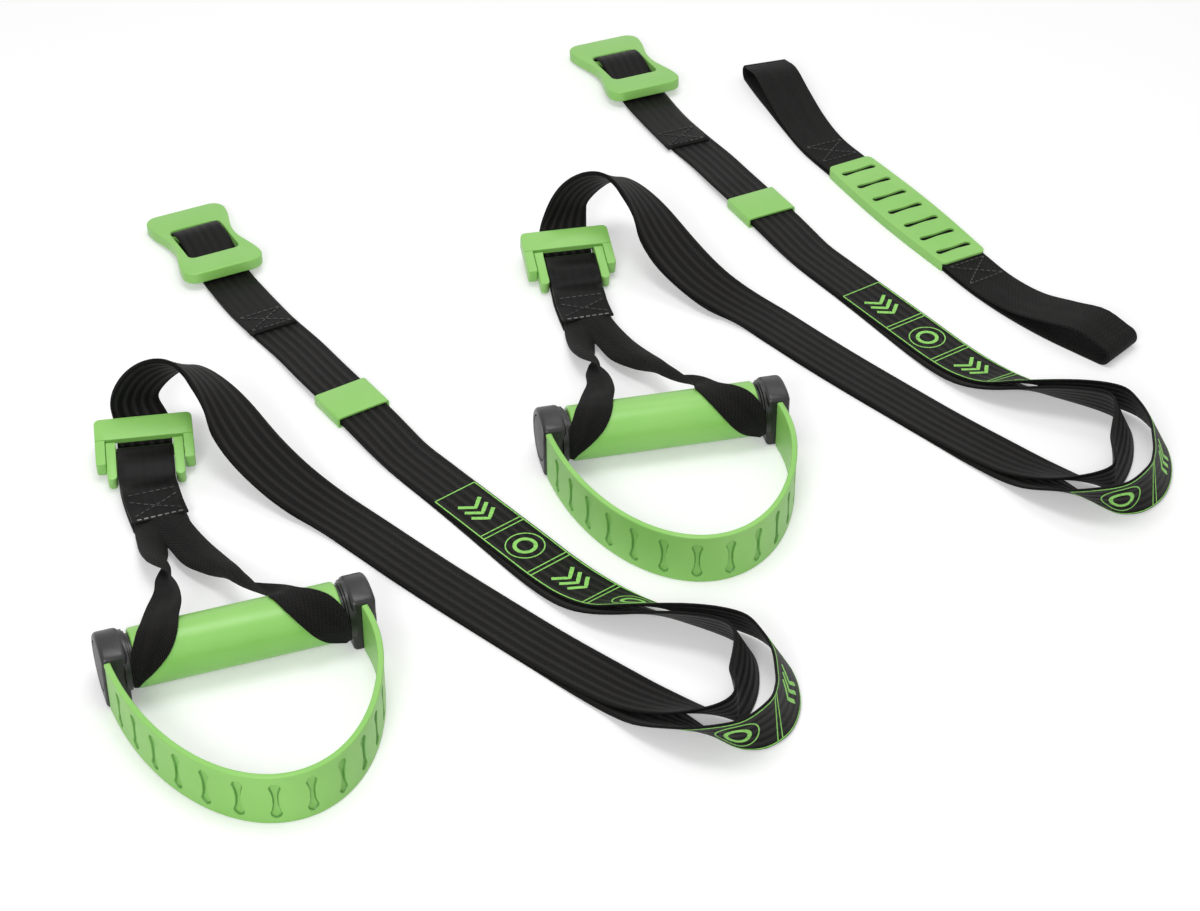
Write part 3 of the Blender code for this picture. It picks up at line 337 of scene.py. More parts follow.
# Handle legs. Each row: x, y, height, the direction from edge to edge, and the gathered width
LEG_ROUTES = {
    "left": (
        (-241.5, -50, 3.2, 0.94, 0.34, 0, 25), (-239.5, -58, 2.9, 0.95, 0.30, 0, 25),
        (-239.3, -65, 2.8, 0.98, 0.18, 0.02, 22.5), (-239.6, -72, 2.9, 1.00, 0.09, 0.03, 19.4),
        (-237.5, -87.5, 4.6, 0.99, 0.05, -0.14, 16), (-233.0, -103.0, 9.2, 0.62, 0.62, -0.48, 15.5),
        (-227.6, -117.5, 14.8, -0.20, 0.76, -0.62, 16.8), (-223.6, -134.3, 21.8, -0.62, 0.57, -0.54, 18.6),
        (-219.1, -155.0, 29.8, -0.85, 0.36, -0.38, 18),
    ),
    "right": (
        (-240.5, -50, 4.9, 0.94, 0.34, 0, 25), (-237.5, -58, 4.8, 0.93, 0.36, 0, 24.5),
        (-231.5, -68, 5.0, 0.92, 0.39, 0.02, 22.5), (-220.9, -82.9, 5.4, 0.91, 0.40, 0.05, 20),
        (-210.6, -98.6, 7.4, 0.91, 0.38, 0.16, 20), (-198.6, -113.3, 11.7, 0.91, 0.06, 0.40, 17),
        (-186.6, -126.4, 16.7, 0.52, -0.54, 0.66, 16.5), (-176.1, -138.6, 22.0, 0.14, -0.79, 0.59, 19),
        (-166.9, -149.8, 28.4, -0.11, -0.89, 0.45, 19),
    ),
}
# Each leg's turns round the grip. Each row: place along the grip and angle from its top in degrees, for
# the one edge and for the other
LEG_WRAPS = {
    "left": ((-46.5, -18, -27, -13), (-49.5, 4, -29, 12), (-52.5, 26, -32, 35), (-55.0, 44, -36.5, 57),
             (-55.6, 61, -41.5, 73), (-55.7, 78, -46.5, 87), (-55.8, 94, -51, 99),
             (-55.9, 108, -53.5, 111)),
    "right": ((20.5, -3, 35, -26), (23.5, 23, 41.5, -5), (27.5, 46, 47.5, 14), (32, 68, 51.5, 34),
              (37, 90, 54.3, 55), (43, 110, 55.5, 76), (49.5, 122, 55.7, 97), (53.3, 130, 55.9, 114)),
}
# Loop strap. Each row: x, y, spacing of the two plies
LOOP_ROUTE = (
    (113, 428, 10), (118, 412, 14), (126, 389, 9), (135, 363, 4), (146.5, 333, 2.6), (160.5, 307, 3.1),
    (176, 278.5, 3.1), (192, 250, 3.1), (208, 221.5, 3.1), (223.5, 193, 3.1), (239, 167, 2.6),
    (256, 144, 5), (273, 125, 11), (290, 109, 15), (301, 99, 11),
)

# Print on each strap: start and end along the upper ply, and how many cells lie between
PRINT_RUNS = {"a": ((266, 425, 4), (497, 592, 2)), "b": ((274, 436, 4), (505, 600, 2))}

# Camera, as the photograph was taken
CAMERA_PLACE = Vector((-16.58, -1308.22, 915.34)) * mm
CAMERA_AIM = Vector((-16.58, -93.52, -0.06)) * mm
CAMERA_LENS = 81.83
CAMERA_SENSOR = 36.0

# Floor and light. Each lamp: name, place in metres, size, power
FLOOR_REACH = 12.0
FLOOR_COLOR = (0.80, 0.80, 0.80)
FLOOR_GLOW = 0.30
WORLD_STRENGTH = 0.45
LIGHTS = (
    ("front", (-0.5, -1.9, 1.25), (0.6, 0.6), 16.0),
    ("above", (-0.1, -0.15, 1.5), (0.9, 0.5), 7.0),
    ("back", (0.4, 0.9, 1.8), (1.4, 0.5), 4.0),
)


# Materials

class Nodes:
    """Short calls for a node tree. Each input is a number, a colour or another node's output."""

    def __init__(self, holder):
        holder.use_nodes = True
        self.holder = holder
        self.tree = holder.node_tree

    def fill(self, made, inputs):
        for key, value in inputs.items():
            if isinstance(value, bpy.types.NodeSocket):
                self.tree.links.new(value, made.inputs[key])
            else:
                made.inputs[key].default_value = value

    def node(self, kind, inputs, output=0, **settings):
        made = self.tree.nodes.new(kind)
        for key, value in settings.items():
            setattr(made, key, value)
        self.fill(made, inputs)
        return made.outputs[output]

    def math(self, operation, *values):
        return self.node("ShaderNodeMath", dict(enumerate(values)), operation=operation)

    def times(self, first, second):
        return self.math("MULTIPLY", first, second)

    def plus(self, first, second):
        return self.math("ADD", first, second)

    def wave(self, value, pitch):
        return self.math("SINE", self.times(value, 2 * math.pi / pitch))

    def noise(self, vector, scale, detail=3.0):
        return self.node("ShaderNodeTexNoise", {"Vector": vector, "Scale": scale, "Detail": detail}, "Fac")

    def spread(self, value, low, high):
        return self.node("ShaderNodeMapRange", {"Value": value, "To Min": low, "To Max": high}, "Result")

    def object_place(self):
        return self.node("ShaderNodeTexCoord", {}, "Object")

    def uv_parts(self, name):
        """A named UV map, and its two values."""
        whole = self.node("ShaderNodeUVMap", {}, "UV", uv_map=name)
        first = self.node("ShaderNodeSeparateXYZ", {"Vector": whole}, "X")
        return whole, first, first.node.outputs["Y"]

    def ramp(self, factor, run_share, low_color, high_color):
        output = self.node("ShaderNodeValToRGB", {"Fac": factor}, "Color")
        stops = output.node.color_ramp.elements
        for stop, position, color in zip(stops, run_share, (low_color, high_color)):
            stop.position = position
            stop.color = (*color, 1.0)
        return output

    def seen(self):
        """1 for the camera's rays and for those that mirror or pass through, else 0."""
        rays = self.node("ShaderNodeLightPath", {}, "Is Camera Ray").node.outputs
        first = self.math("MAXIMUM", rays["Is Camera Ray"], rays["Is Glossy Ray"])
        return self.math("MAXIMUM", first, rays["Is Transmission Ray"])

    def surface(self, color, rough, height, strength, depth, others=()):
        """Ends a look with its colour, roughness and relief."""
        relief = {"Height": height, "Strength": strength, "Distance": depth}
        normal = self.node("ShaderNodeBump", relief, "Normal")
        self.fill(self.tree.nodes["Principled BSDF"],
                  {"Base Color": color, "Roughness": rough, "Normal": normal, **dict(others)})
        return self.holder


def plastic_look(name, colors, roughness, grain, recess_shade_color=None):
    """Moulded plastic: a slight drift of colour, uneven gloss, a fine grain, and painted shade in recesses,
    darkest at their walls.
    """
    look = Nodes(bpy.data.materials.new(name))
    place = look.object_place()
    fine = look.noise(place, FINE_SCALE, 2.0)
    grains = look.noise(place, GRAIN_SCALE, 2.0)
    color = look.ramp(look.noise(place, DRIFT_SCALE), DRIFT_RUN_SHARE, *colors)
    if recess_shade_color:
        _, depth, _ = look.uv_parts("recess")
        # Painted shade: darkest at the recess walls, where the depth share is a half, and slight on the
        # recess floors
        rim = look.times(depth, look.math("SUBTRACT", 1.0, depth))
        shade = look.plus(look.times(rim, RECESS_WALL_SHADE), look.times(depth, RECESS_FLOOR_SHADE))
        inputs = {"Factor": shade, "A": color, "B": (*recess_shade_color, 1.0)}
        color = look.node("ShaderNodeMix", inputs, "Result", data_type="RGBA", clamp_factor=True)
    gloss = look.spread(fine, roughness + PLASTIC_GLOSS[0], roughness + PLASTIC_GLOSS[1])
    height = look.plus(look.times(fine, FINE_SHARE), grains)
    return look.surface(color, gloss, height, grain, GRAIN_DEPTH)


def webbing_look(name, pick_share, roughness, rib_pitch, rib_height, twill_pitch, twill_height,
                 smooth_run=None):
    """Woven strap: wide lengthwise ribs with a painted sheen on their crests, a fine twill over them and
    threads of uneven darkness.

    Over the first stretch of a strap with a smooth run, the ribs are pressed flat and shiny.
    """
    look = Nodes(bpy.data.materials.new(name))
    weave, across, along = look.uv_parts("weave")
    rib = look.wave(across, rib_pitch)
    rising = look.wave(look.plus(across, along), twill_pitch)
    falling = look.wave(look.math("SUBTRACT", across, along), twill_pitch * 2)
    twill = look.plus(rising, look.times(falling, FALLING_SHARE))
    stretched = look.node("ShaderNodeMapping", {"Vector": weave, "Scale": STREAK_STRETCH}, "Vector")
    streak = look.noise(stretched, STREAK_SCALE)
    cloud = look.noise(weave, CLOUD_SCALE)
    ribbed = 1.0
    if smooth_run:
        first, last = smooth_run
        inputs = {"Value": along, "From Min": first, "From Max": last, "To Min": SMOOTH_RELIEF}
        ribbed = look.node("ShaderNodeMapRange", inputs, "Result")
    height = look.plus(look.times(rib, rib_height / mm), look.times(twill, twill_height / mm))
    height = look.times(look.plus(height, look.times(streak, STREAK_HEIGHT)), ribbed)
    tone = look.plus(look.times(streak, STREAK_TONE), look.times(cloud, CLOUD_TONE))
    tone = look.plus(tone, look.times(twill, pick_share))
    # Painted sheen: rib crests lighter in colour, less so where the ribs are pressed smooth
    tone = look.plus(tone, look.times(look.times(rib, rib_height / mm * RIB_PAINTED_SHEEN), ribbed))
    rough = look.spread(cloud, roughness + WEBBING_GLOSS[0], roughness + WEBBING_GLOSS[1])
    rough = look.math("SUBTRACT", rough, look.times(look.math("SUBTRACT", 1.0, ribbed), SMOOTH_GLOSS))
    color = look.ramp(tone, TONE_RUN_SHARE, *WEBBING_COLORS)
    return look.surface(color, rough, height, WEAVE_RELIEF, WEAVE_DEPTH, WEBBING_SHEEN)


def fine_look(name, colors, run_share, patch_scale, grain_scale, detail, gloss, relief, depth, metal=0.0):
    """Patches of uneven colour, and a finer grain in the gloss and the relief."""
    look = Nodes(bpy.data.materials.new(name))
    place = look.object_place()
    grain = look.noise(place, grain_scale, detail)
    color = look.ramp(look.noise(place, patch_scale), run_share, *colors)
    return look.surface(color, look.spread(grain, *gloss), grain, relief, depth, {"Metallic": metal})


def make_looks():
    looks = {}
    for make, table in ((webbing_look, WEAVES), (plastic_look, PLASTICS), (fine_look, FINE_LOOKS)):
        for name, values in table.items():
            looks[name] = make(name + "_look", *values)
    return looks


# Meshes

def linked(name, data):
    """A new object with this data, in the scene."""
    made = bpy.data.objects.new(name, data)
    bpy.context.scene.collection.objects.link(made)
    return made


def mesh_of(name, verts, faces):
    mesh = bpy.data.meshes.new(name)
    mesh.from_pydata([tuple(vert) for vert in verts], [], faces)
    return mesh


def angles(first, last, steps):
    """Even angles in radians, from one to another that are given in degrees."""
    return [math.radians(first + (last - first) * step / steps) for step in range(steps + 1)]


def unit(vectors):
    return vectors / np.linalg.norm(vectors, axis=-1, keepdims=True)


def run_along(places):
    """How far each place is from the first, along the line through them."""
    return np.concatenate(([0.0], np.cumsum(np.linalg.norm(np.diff(places, axis=0), axis=1))))


def set_uvs(mesh, name, values):
    """A UV map from one pair of values for each vertex."""
    corners = np.empty(len(mesh.loops), dtype=np.int32)
    mesh.loops.foreach_get("vertex_index", corners)
    mesh.uv_layers.new(name=name).data.foreach_set("uv", np.array(values, dtype=np.float32)[corners].ravel())


def new_object(name, verts, faces, look, smooth, uvs):
    mesh = mesh_of(name, verts, faces)
    mesh.transform(Matrix.Translation(SET_SHIFT))
    set_uvs(mesh, "weave", uvs)
    if smooth:
        mesh.shade_smooth()
    made = linked(name, mesh)
    made.data.materials.append(look)
    return made


def strap_section(width, thick):
    """Cross-section of webbing: (across, out) points round it, with rounded edges."""
    edge = thick / 2
    flat = width / 2 - edge
    top = [(-flat + 2 * flat * step / TOP_STEPS, edge) for step in range(TOP_STEPS + 1)]
    right = [(flat + edge * math.sin(angle), edge * math.cos(angle)) for angle in angles(36, 144, 3)]
    return top + right + [(-x, -y) for x, y in top + right]


def grid_faces(rows, count, closed=False):
    """Faces between the rows of a grid that runs round its sides, and over its two ends unless closed."""
    faces = []
    for row in range(rows if closed else rows - 1):
        here, after = row * count, (row + 1) % rows * count
        for side in range(count):
            nearby = (side + 1) % count
            faces.append((here + side, here + nearby, after + nearby, after + side))
    if not closed:
        faces += [tuple(range(count))[::-1], tuple(range((rows - 1) * count, rows * count))]
    return faces


def sweep_arrays(places, acrosses, faces, section, shares=None, closed=False):
    """Vertices, faces and weave coordinates of a section carried along a route."""
    section = np.array(section)
    rows, count = len(places), len(section)
    shares = np.ones(rows) if shares is None else np.array(shares)
    verts = (places[:, None, :] + acrosses[:, None, :] * (section[None, :, 0:1] * shares[:, None, None])
             + faces[:, None, :] * section[None, :, 1:2]).reshape(-1, 3)
    uvs = np.stack((np.tile(section[:, 0], rows), np.repeat(run_along(places), count)), axis=1)
    return verts, grid_faces(rows, count, closed), uvs


def framed(places, acrosses, square=False):
    """Edge-to-edge directions, turned square to the travel if asked, and face directions."""
    travels = unit(np.gradient(places, axis=0))
    if square:
        acrosses = acrosses - travels * np.sum(acrosses * travels, axis=1, keepdims=True)
    acrosses = unit(acrosses)
    return acrosses, unit(np.cross(acrosses, travels))


class Strap:
    """A route with its directions, for the webbing itself and for what lies on its faces."""

    def __init__(self, places, acrosses):
        self.places = np.array(places, dtype=float)
        self.acrosses, self.faces = framed(self.places, np.array(acrosses, dtype=float))
        self.along = run_along(self.places)

    def length(self):
        return float(self.along[-1])

    def mesh_object(self, name, width, look, shares=None, bulges=None):
        section = strap_section(width, STRAP_THICK)
        verts, faces, uvs = sweep_arrays(self.places, self.acrosses, self.faces, section, shares)
        if bulges is not None:
            crown = 1 - (np.array(section)[:, 0] * 2 / width) ** 2
            rises = bulges[:, None] * crown[None, :]
            verts = verts + (self.faces[:, None, :] * rises[:, :, None]).reshape(-1, 3)
        return new_object(name, verts, faces, look, True, uvs)

    def at(self, values, along):
        return np.array([np.interp(along, self.along, values[:, axis]) for axis in range(3)])

    def spot(self, across, along, out, side=1):
        """Place and outward direction at a distance across and along the strap, on one face."""
        reach = unit(self.at(self.acrosses, along))
        face = unit(self.at(self.faces, along) * side)
        return self.at(self.places, along) + reach * across + face * (STRAP_THICK / 2 + out), face


def line_on(strap, points, width, thick, side=1, closed=False, rise=0.0):
    """Arrays of a thin line laid on a strap's face through (across, along) points."""
    path = [np.array(point, dtype=float) for point in points]
    if closed:
        path.append(path[0])
    fine = []
    for first, last in zip(path, path[1:]):
        count = max(1, math.ceil(np.linalg.norm(last - first) / LINE_STEP))
        fine += [first + (last - first) * step / count for step in range(count)]
    if not closed:
        fine.append(path[-1])
    spots = [strap.spot(across, along, rise, side) for across, along in fine]
    places, faces = (np.array(values) for values in zip(*spots))
    if closed:
        travels = unit(np.roll(places, -1, axis=0) - np.roll(places, 1, axis=0))
    else:
        travels = unit(np.gradient(places, axis=0))
    reaches = unit(np.cross(travels, faces))
    half, up = width / 2, thick / 2
    section = [(-half, up), (half, up), (half, -up), (-half, -up)]
    return sweep_arrays(places, reaches, np.cross(reaches, travels), section, closed=closed)


def joined_object(name, batches, look):
    """One object from several arrays."""
    quads = []
    base = 0
    for verts, faces, _ in batches:
        quads += [tuple(base + index for index in face) for face in faces]
        base += len(verts)
    return new_object(name, np.vstack([batch[0] for batch in batches]), quads, look, False,
                      np.vstack([batch[2] for batch in batches]))


def stitches_on(strap, first, last, side):
    """Short raised stitches from one (across, along) point to another on a strap's face."""
    first, last = np.array(first, dtype=float), np.array(last, dtype=float)
    reach = np.linalg.norm(last - first)
    count = max(1, int(reach / (STITCH_LENGTH + STITCH_SPACE)))
    heading = (last - first) / reach
    batches = []
    for index in range(count):
        middle = first + heading * (reach * (index + 0.5) / count)
        ends = (middle - heading * STITCH_LENGTH / 2, middle + heading * STITCH_LENGTH / 2)
        batches.append(line_on(strap, ends, STITCH_WIDTH, STITCH_WIDTH, side, False, STITCH_WIDTH / 4))
    return batches


def sewn_line(strap, reach, along, side):
    return stitches_on(strap, (-reach, along), (reach, along), side)


def sewn_cross(strap, reach, near, far, side):
    return (stitches_on(strap, (-reach, near), (reach, far), side)
            + stitches_on(strap, (reach, near), (-reach, far), side))


def ring_points(across, along, radius, sides):
    return [(across + radius * math.cos(2 * math.pi * step / sides),
             along + radius * math.sin(2 * math.pi * step / sides)) for step in range(sides)]


# Routes and frames shared with the CAD source

def floor_place(trainer, x, y):
    layout = LAYOUTS[trainer]
    (xx, xy), (yx, yy) = layout["stretch_share"]
    shift_x, shift_y = layout["shift"]
    return (xx * x + xy * y + shift_x) * mm, (yx * x + yy * y + shift_y) * mm


def floor_frame(place, heading, tilt=0.0):
    return Matrix.Translation(place) @ Matrix.Rotation(heading, 4, "Z") @ Matrix.Rotation(tilt, 4, "X")


def plate_frame(trainer):
    place = (*floor_place(trainer, *PLATE_SITE), PLATE_MIDDLE)
    return floor_frame(place, PLATE_HEADING[trainer], -PLATE_TILT)


def buckle_frame(trainer):
    place = (*floor_place(trainer, *BUCKLE_SITE[:2]), BUCKLE_SITE[2] * mm)
    return floor_frame(place, BUCKLE_HEADING[trainer], BUCKLE_SLOPE)


def handle_frame(trainer):
    x, y = (value * mm for value in HANDLE_SITE[trainer])
    return floor_frame((x, y, CAP_RADIUS + LIFT_OFF), HANDLE_HEADING[trainer])


def nearest(rows, place):
    """Index of the row whose place is nearest on the floor."""
    return int(np.argmin(np.hypot(rows[:, 0] - place[0], rows[:, 1] - place[1])))


def keeper_frame(trainer):
    rows = np.array(floor_rows(trainer))
    near = nearest(rows, floor_place(trainer, *KEEPER_SITE))
    ahead = Vector(rows[near + 1, :3] - rows[near - 1, :3])
    return floor_frame(Vector(rows[near, :3]), math.atan2(ahead.y, ahead.x) + math.pi / 2)


def smooth_rows(rows, step=STRAP_STEP):
    """A smooth curve through the rows, whose first six values are a place and an edge-to-edge direction."""
    rows = np.array(rows, dtype=float)
    chords = np.linalg.norm(np.diff(rows[:, :3], axis=0), axis=1)
    slopes = np.gradient(rows, run_along(rows[:, :3]), axis=0)
    result = []
    for index, chord in enumerate(chords):
        bend = Vector(slopes[index, :3]).angle(Vector(slopes[index + 1, :3]), 0.0)
        twist = Vector(rows[index, 3:6]).angle(Vector(rows[index + 1, 3:6]), 0.0)
        count = max(1, math.ceil(chord / step), math.ceil((bend + twist) / TURN_STEP))
        for part in range(count):
            t = part / count
            blend = (2 * t ** 3 - 3 * t ** 2 + 1, t ** 3 - 2 * t ** 2 + t,
                     3 * t ** 2 - 2 * t ** 3, t ** 3 - t ** 2)
            result.append(blend[0] * rows[index] + blend[1] * chord * slopes[index]
                          + blend[2] * rows[index + 1] + blend[3] * chord * slopes[index + 1])
    result.append(rows[-1])
    return np.array(result)


def floor_rows(trainer):
    edges = [floor_place(trainer, row[0], row[1]) for row in FLOOR_ROUTE]
    travels = np.gradient(np.array(edges), axis=0)
    rows = []
    for (x, y), (tx, ty), row in zip(edges, travels, FLOOR_ROUTE):
        nearer = Vector((tx, ty, 0)).normalized().cross(Vector((0, 0, 1)))
        lean = math.radians(row[3])
        across = nearer * math.cos(lean) + Vector((0, 0, 1)) * math.sin(lean)
        middle = Vector((x, y, row[2] * mm)) + across * STRAP_WIDTH / 2
        rows.append((*middle, *across, PLY_PITCH, row[4] * mm))
    return rows


def arch_rows(trainer):
    rows = []
    for x, y, z, ax, ay, az in ARCH_ROUTE:
        here = floor_place(trainer, x, y)
        ahead = floor_place(trainer, x + ax, y + ay)
        across = Vector((here[0] - ahead[0], here[1] - ahead[1], -az * mm)).normalized()
        rows.append((*here, z * mm, *across, PLY_PITCH, 0.0))
    frame = buckle_frame(trainer)
    across = -frame.col[0].xyz
    for place, spacing in ((BUCKLE_DEPTH + BUCKLE_EDGE, (PLY_PITCH + FOLD_SPACING) / 2),
                           (FOLD_PLACE, FOLD_SPACING)):
        rows.append((*(frame @ Vector((0, place, FOLD_HEIGHT))), *across, spacing, 0.0))
    return rows


def evened(places, reach):
    """Each place moved to the middle of its neighbours within reach, but for the ends."""
    out = places.copy()
    for index in range(reach, len(places) - reach):
        out[index] = places[index - reach:index + reach + 1].mean(axis=0)
    return out


def level_side(places):
    """Level directions to the right of the travel."""
    return np.cross(unit(np.gradient(places, axis=0) * (1, 1, 0)), (0, 0, 1))


def bar_wrap(frame, place, height, radius, sign):
    """Half a turn round a crosswise bar, from under it with sign 1 and from over it with sign -1."""
    return [tuple(frame @ Vector((0, place + sign * radius * math.sin(angle),
                                  height - sign * radius * math.cos(angle))))
            for angle in angles(*FOLD_ARC)]


def main_routes(trainer):
    """The whole strap's places and directions, and those of its upper ply alone."""
    plate = plate_frame(trainer)
    sideways = -plate.col[0].xyz
    start = [(*floor_place(trainer, x, y), z * mm, *sideways) for x, y, z in SHORT_END_ROUTE]
    inside = plate @ Vector((0, OPENING_NEAR, 0))
    start.append((inside.x, inside.y, SHORT_END_ROUTE[-1][2] * mm + WELD, *sideways))
    for angle in angles(0, 180, 6):
        reach = CROSSBAR_RADIUS + GAP + STRAP_THICK / 2 + WINDOW_PUFF * (1 + math.cos(angle)) / 2
        place = plate @ Vector((0, CROSSBAR_PLACE + reach * math.sin(angle), reach * math.cos(angle)))
        start.append((*place, *sideways))
    start.append((inside.x, inside.y, STRAP_THICK / 2 + LIFT_OFF, *sideways))
    start = smooth_rows(start)
    base = smooth_rows(floor_rows(trainer) + arch_rows(trainer))
    middles, offsets = base[:, :3], base[:, 6:7] / 2
    acrosses, faces = framed(middles, base[:, 3:6])
    load = middles + faces * offsets
    tail = evened(middles - faces * offsets + level_side(middles) * base[:, 7:8], TAIL_EVENING)
    tail_start = nearest(tail, floor_place(trainer, *FLOOR_ROUTE[TAIL_END_ROW][:2]))
    buckle = buckle_frame(trainer)
    fold = bar_wrap(buckle, FOLD_PLACE, FOLD_HEIGHT, FOLD_SPACING / 2, -1)
    fold_acrosses = [tuple(-buckle.col[0].xyz)] * len(fold)
    back = slice(None, tail_start - 1 if tail_start else None, -1)
    places = np.vstack((start[:, :3], load, fold, tail[back]))
    directions = np.vstack((start[:, 3:6], acrosses, fold_acrosses, evened(acrosses, TAIL_EVENING)[back]))
    return Strap(places, directions), Strap(load, acrosses)


def tab_strap(trainer):
    """Down under the bar, round it and back, with the upper ply bulging where it leaves the bar."""
    buckle = buckle_frame(trainer)
    across = buckle.col[0].xyz
    spacing = 2 * (BAR_RADIUS + GAP + STRAP_THICK / 2)
    rows = [(*(buckle @ Vector((0, BAR_PLACE, BAR_HEIGHT))), *across, spacing)]
    for along, height, gap in TAB_INNER_ROUTE:
        rows.append((*(buckle @ Vector((0, along * mm, height * mm))), *across, gap * mm))
    for x, y, z, gap in TAB_ROUTE:
        rows.append((*floor_place(trainer, x, y), z * mm, *across, gap * mm))
    rows = np.array(rows)
    square = Vector((0, 0, 1)).cross(Vector(rows[-1, :3] - rows[-2, :3])).normalized()
    outer = rows[1 + len(TAB_INNER_ROUTE):]
    for index, row in enumerate(outer):
        row[3:6] = Vector(across).lerp(square, (index + 1) / len(outer))
    base = smooth_rows(rows, STRAP_STEP / 4)
    acrosses, faces = framed(base[:, :3], base[:, 3:6], True)
    offsets = faces * base[:, 6:7] / 2
    wrap = bar_wrap(buckle, BAR_PLACE, BAR_HEIGHT, spacing / 2, 1)
    lower = (base[:, :3] + offsets)[::-1]
    upper = base[:, :3] - offsets
    if lower[-1][2] > upper[0][2]:
        lower, upper = upper[::-1], lower[::-1]
    swells = np.clip(run_along(upper) / (BAR_PLACE + BAR_RADIUS), 0, 2) * math.pi
    upper = upper + np.outer(np.sin(swells) ** 2 * TAB_BULGE, (0, 0, 1))
    directions = np.vstack((acrosses[::-1], [tuple(across)] * len(wrap), acrosses))
    return Strap(np.vstack((lower, wrap, upper)), directions), len(lower) + len(wrap)


def leg_strap(trainer, side):
    """A leg's route, with its share of the full width and its crown over the grip."""
    rows = []
    for x, y, z, ax, ay, az, width in LEG_ROUTES[side]:
        share = width * mm / LEG_WIDTH
        sag = LEG_CURL * LEG_WIDTH * math.sqrt(share * max(1 - share, 0))
        rows.append((*floor_place(trainer, x, y), z * mm, ax, ay, az, share, -sag))
    handle = handle_frame(trainer)
    radius = GRIP_RADIUS + GAP + STRAP_THICK / 2
    for first_along, first_degrees, last_along, last_degrees in LEG_WRAPS[side]:
        edges = []
        for along, degrees in ((first_along, first_degrees), (last_along, last_degrees)):
            angle = math.radians(degrees)
            edges.append(handle @ Vector((along * mm, -radius * math.sin(angle), radius * math.cos(angle))))
        across = edges[0] - edges[1]
        sag = radius * (1 - math.cos(math.radians(last_degrees - first_degrees) / 2))
        rows.append((*((edges[0] + edges[1]) / 2), *across.normalized(), across.length / LEG_WIDTH, -sag))
    route = smooth_rows(rows, STRAP_STEP / 3)
    return Strap(route[:, :3], route[:, 3:6]), route[:, 6], route[:, 7]


def half_turn(row, outward):
    """Places round the fold at one end of the loop's two plies."""
    outward = unit(outward * (1, 1, 0))
    return [row[:3] + (outward * math.sin(angle) + np.array((0, 0, math.cos(angle)))) * row[6] / 2
            for angle in angles(*FOLD_ARC)]


def loop_straps():
    """The whole folded strap, and its upper ply alone."""
    rows = np.array([(x * mm, y * mm, (STRAP_THICK + gap * mm) / 2 + LIFT_OFF, 1, 0, 0, gap * mm)
                     for x, y, gap in LOOP_ROUTE])
    rows[:, 3:6] = level_side(rows[:, :3])
    base = smooth_rows(rows)
    rise = base[:, 6:7] / 2 * (0, 0, 1)
    end_fold = half_turn(base[-1], base[-1, :3] - base[-2, :3])
    start_fold = half_turn(base[0], base[0, :3] - base[1, :3])
    acrosses = base[:, 3:6]
    end_across, start_across = (np.tile(acrosses[index], (len(end_fold), 1)) for index in (-1, 0))
    places = np.vstack((base[:, :3] + rise, end_fold, (base[:, :3] - rise)[::-1], start_fold[::-1]))
    directions = np.vstack((acrosses, end_across, acrosses[::-1], start_across))
    return Strap(places, directions), Strap(base[:, :3] + rise, acrosses)


# Solid pieces

def set_mesh(mesh, frame):
    """A mesh moved from a frame's own coordinates to its place in the set."""
    mesh.transform(Matrix.Translation(SET_SHIFT) @ frame)
    return mesh


def place_mesh(name, mesh, frame, look):
    made = linked(name, set_mesh(mesh, frame))
    mesh.materials.clear()
    mesh.materials.append(look)
    return made


def apply_modifiers(made, sharp=30):
    bpy.context.view_layer.update()
    depsgraph = bpy.context.evaluated_depsgraph_get()
    mesh = bpy.data.meshes.new_from_object(made.evaluated_get(depsgraph))
    made.modifiers.clear()
    made.data = mesh
    mesh.shade_smooth()
    mesh.set_sharp_from_angle(angle=math.radians(sharp))


def cut(made, mesh, frame, operation="DIFFERENCE"):
    """Cuts or adds a mesh, given in a frame's own coordinates, and applies it."""
    other = linked("cutter", set_mesh(mesh, frame))
    step = made.modifiers.new("cut", "BOOLEAN")
    step.operation = operation
    step.object = other
    step.solver = "EXACT"
    apply_modifiers(made)
    bpy.data.objects.remove(other, do_unlink=True)


def cleaned(mesh, weld=0.0, flat=False):
    """The mesh with near points welded, flat faces joined if asked, and its faces turned outwards."""
    made = bmesh.new()
    made.from_mesh(mesh)
    if weld:
        bmesh.ops.remove_doubles(made, verts=made.verts, dist=weld)
    if flat:
        bmesh.ops.dissolve_limit(made, angle_limit=math.radians(1), verts=made.verts, edges=made.edges)
    bmesh.ops.recalc_face_normals(made, faces=made.faces)
    made.to_mesh(mesh)
    made.free()
    return mesh


def box_mesh(low, high):
    made = bmesh.new()
    bmesh.ops.create_cube(made, size=1.0)
    size = Vector(high) - Vector(low)
    middle = (Vector(high) + Vector(low)) / 2
    matrix = Matrix.Translation(middle) @ Matrix.Diagonal((*size, 1.0))
    bmesh.ops.transform(made, matrix=matrix, verts=made.verts)
    mesh = bpy.data.meshes.new("box")
    made.to_mesh(mesh)
    made.free()
    return mesh


def lathe_mesh(profile, closed=False, sides=LATHE_SIDES):
    """A (place along X, radius) profile turned about the local X axis."""
    rows = len(profile)
    verts = []
    for step in range(sides):
        angle = 2 * math.pi * step / sides
        verts += [(along, radius * math.cos(angle), radius * math.sin(angle)) for along, radius in profile]
    faces = []
    for step in range(sides):
        here, after = step * rows, (step + 1) % sides * rows
        for row in range(rows if closed else rows - 1):
            nearby = (row + 1) % rows
            faces.append((here + row, after + row, after + nearby, here + nearby))
    mesh = cleaned(mesh_of("lathe", verts, faces), WELD / 10)
    mesh.shade_smooth()
    mesh.set_sharp_from_angle(angle=math.radians(30))
    return mesh


def disc_mesh(half_length, radius, edge, sides=LATHE_SIDES):
    """A round bar or disc along X with rounded rims."""
    arc = [(half_length - edge + edge * math.cos(angle), radius - edge + edge * math.sin(angle))
           for angle in angles(0, 90, 5)]
    profile = [(half_length, 0.0)] + arc + [(-along, reach) for along, reach in reversed(arc)]
    return lathe_mesh(profile + [(-half_length, 0.0)], sides=sides)


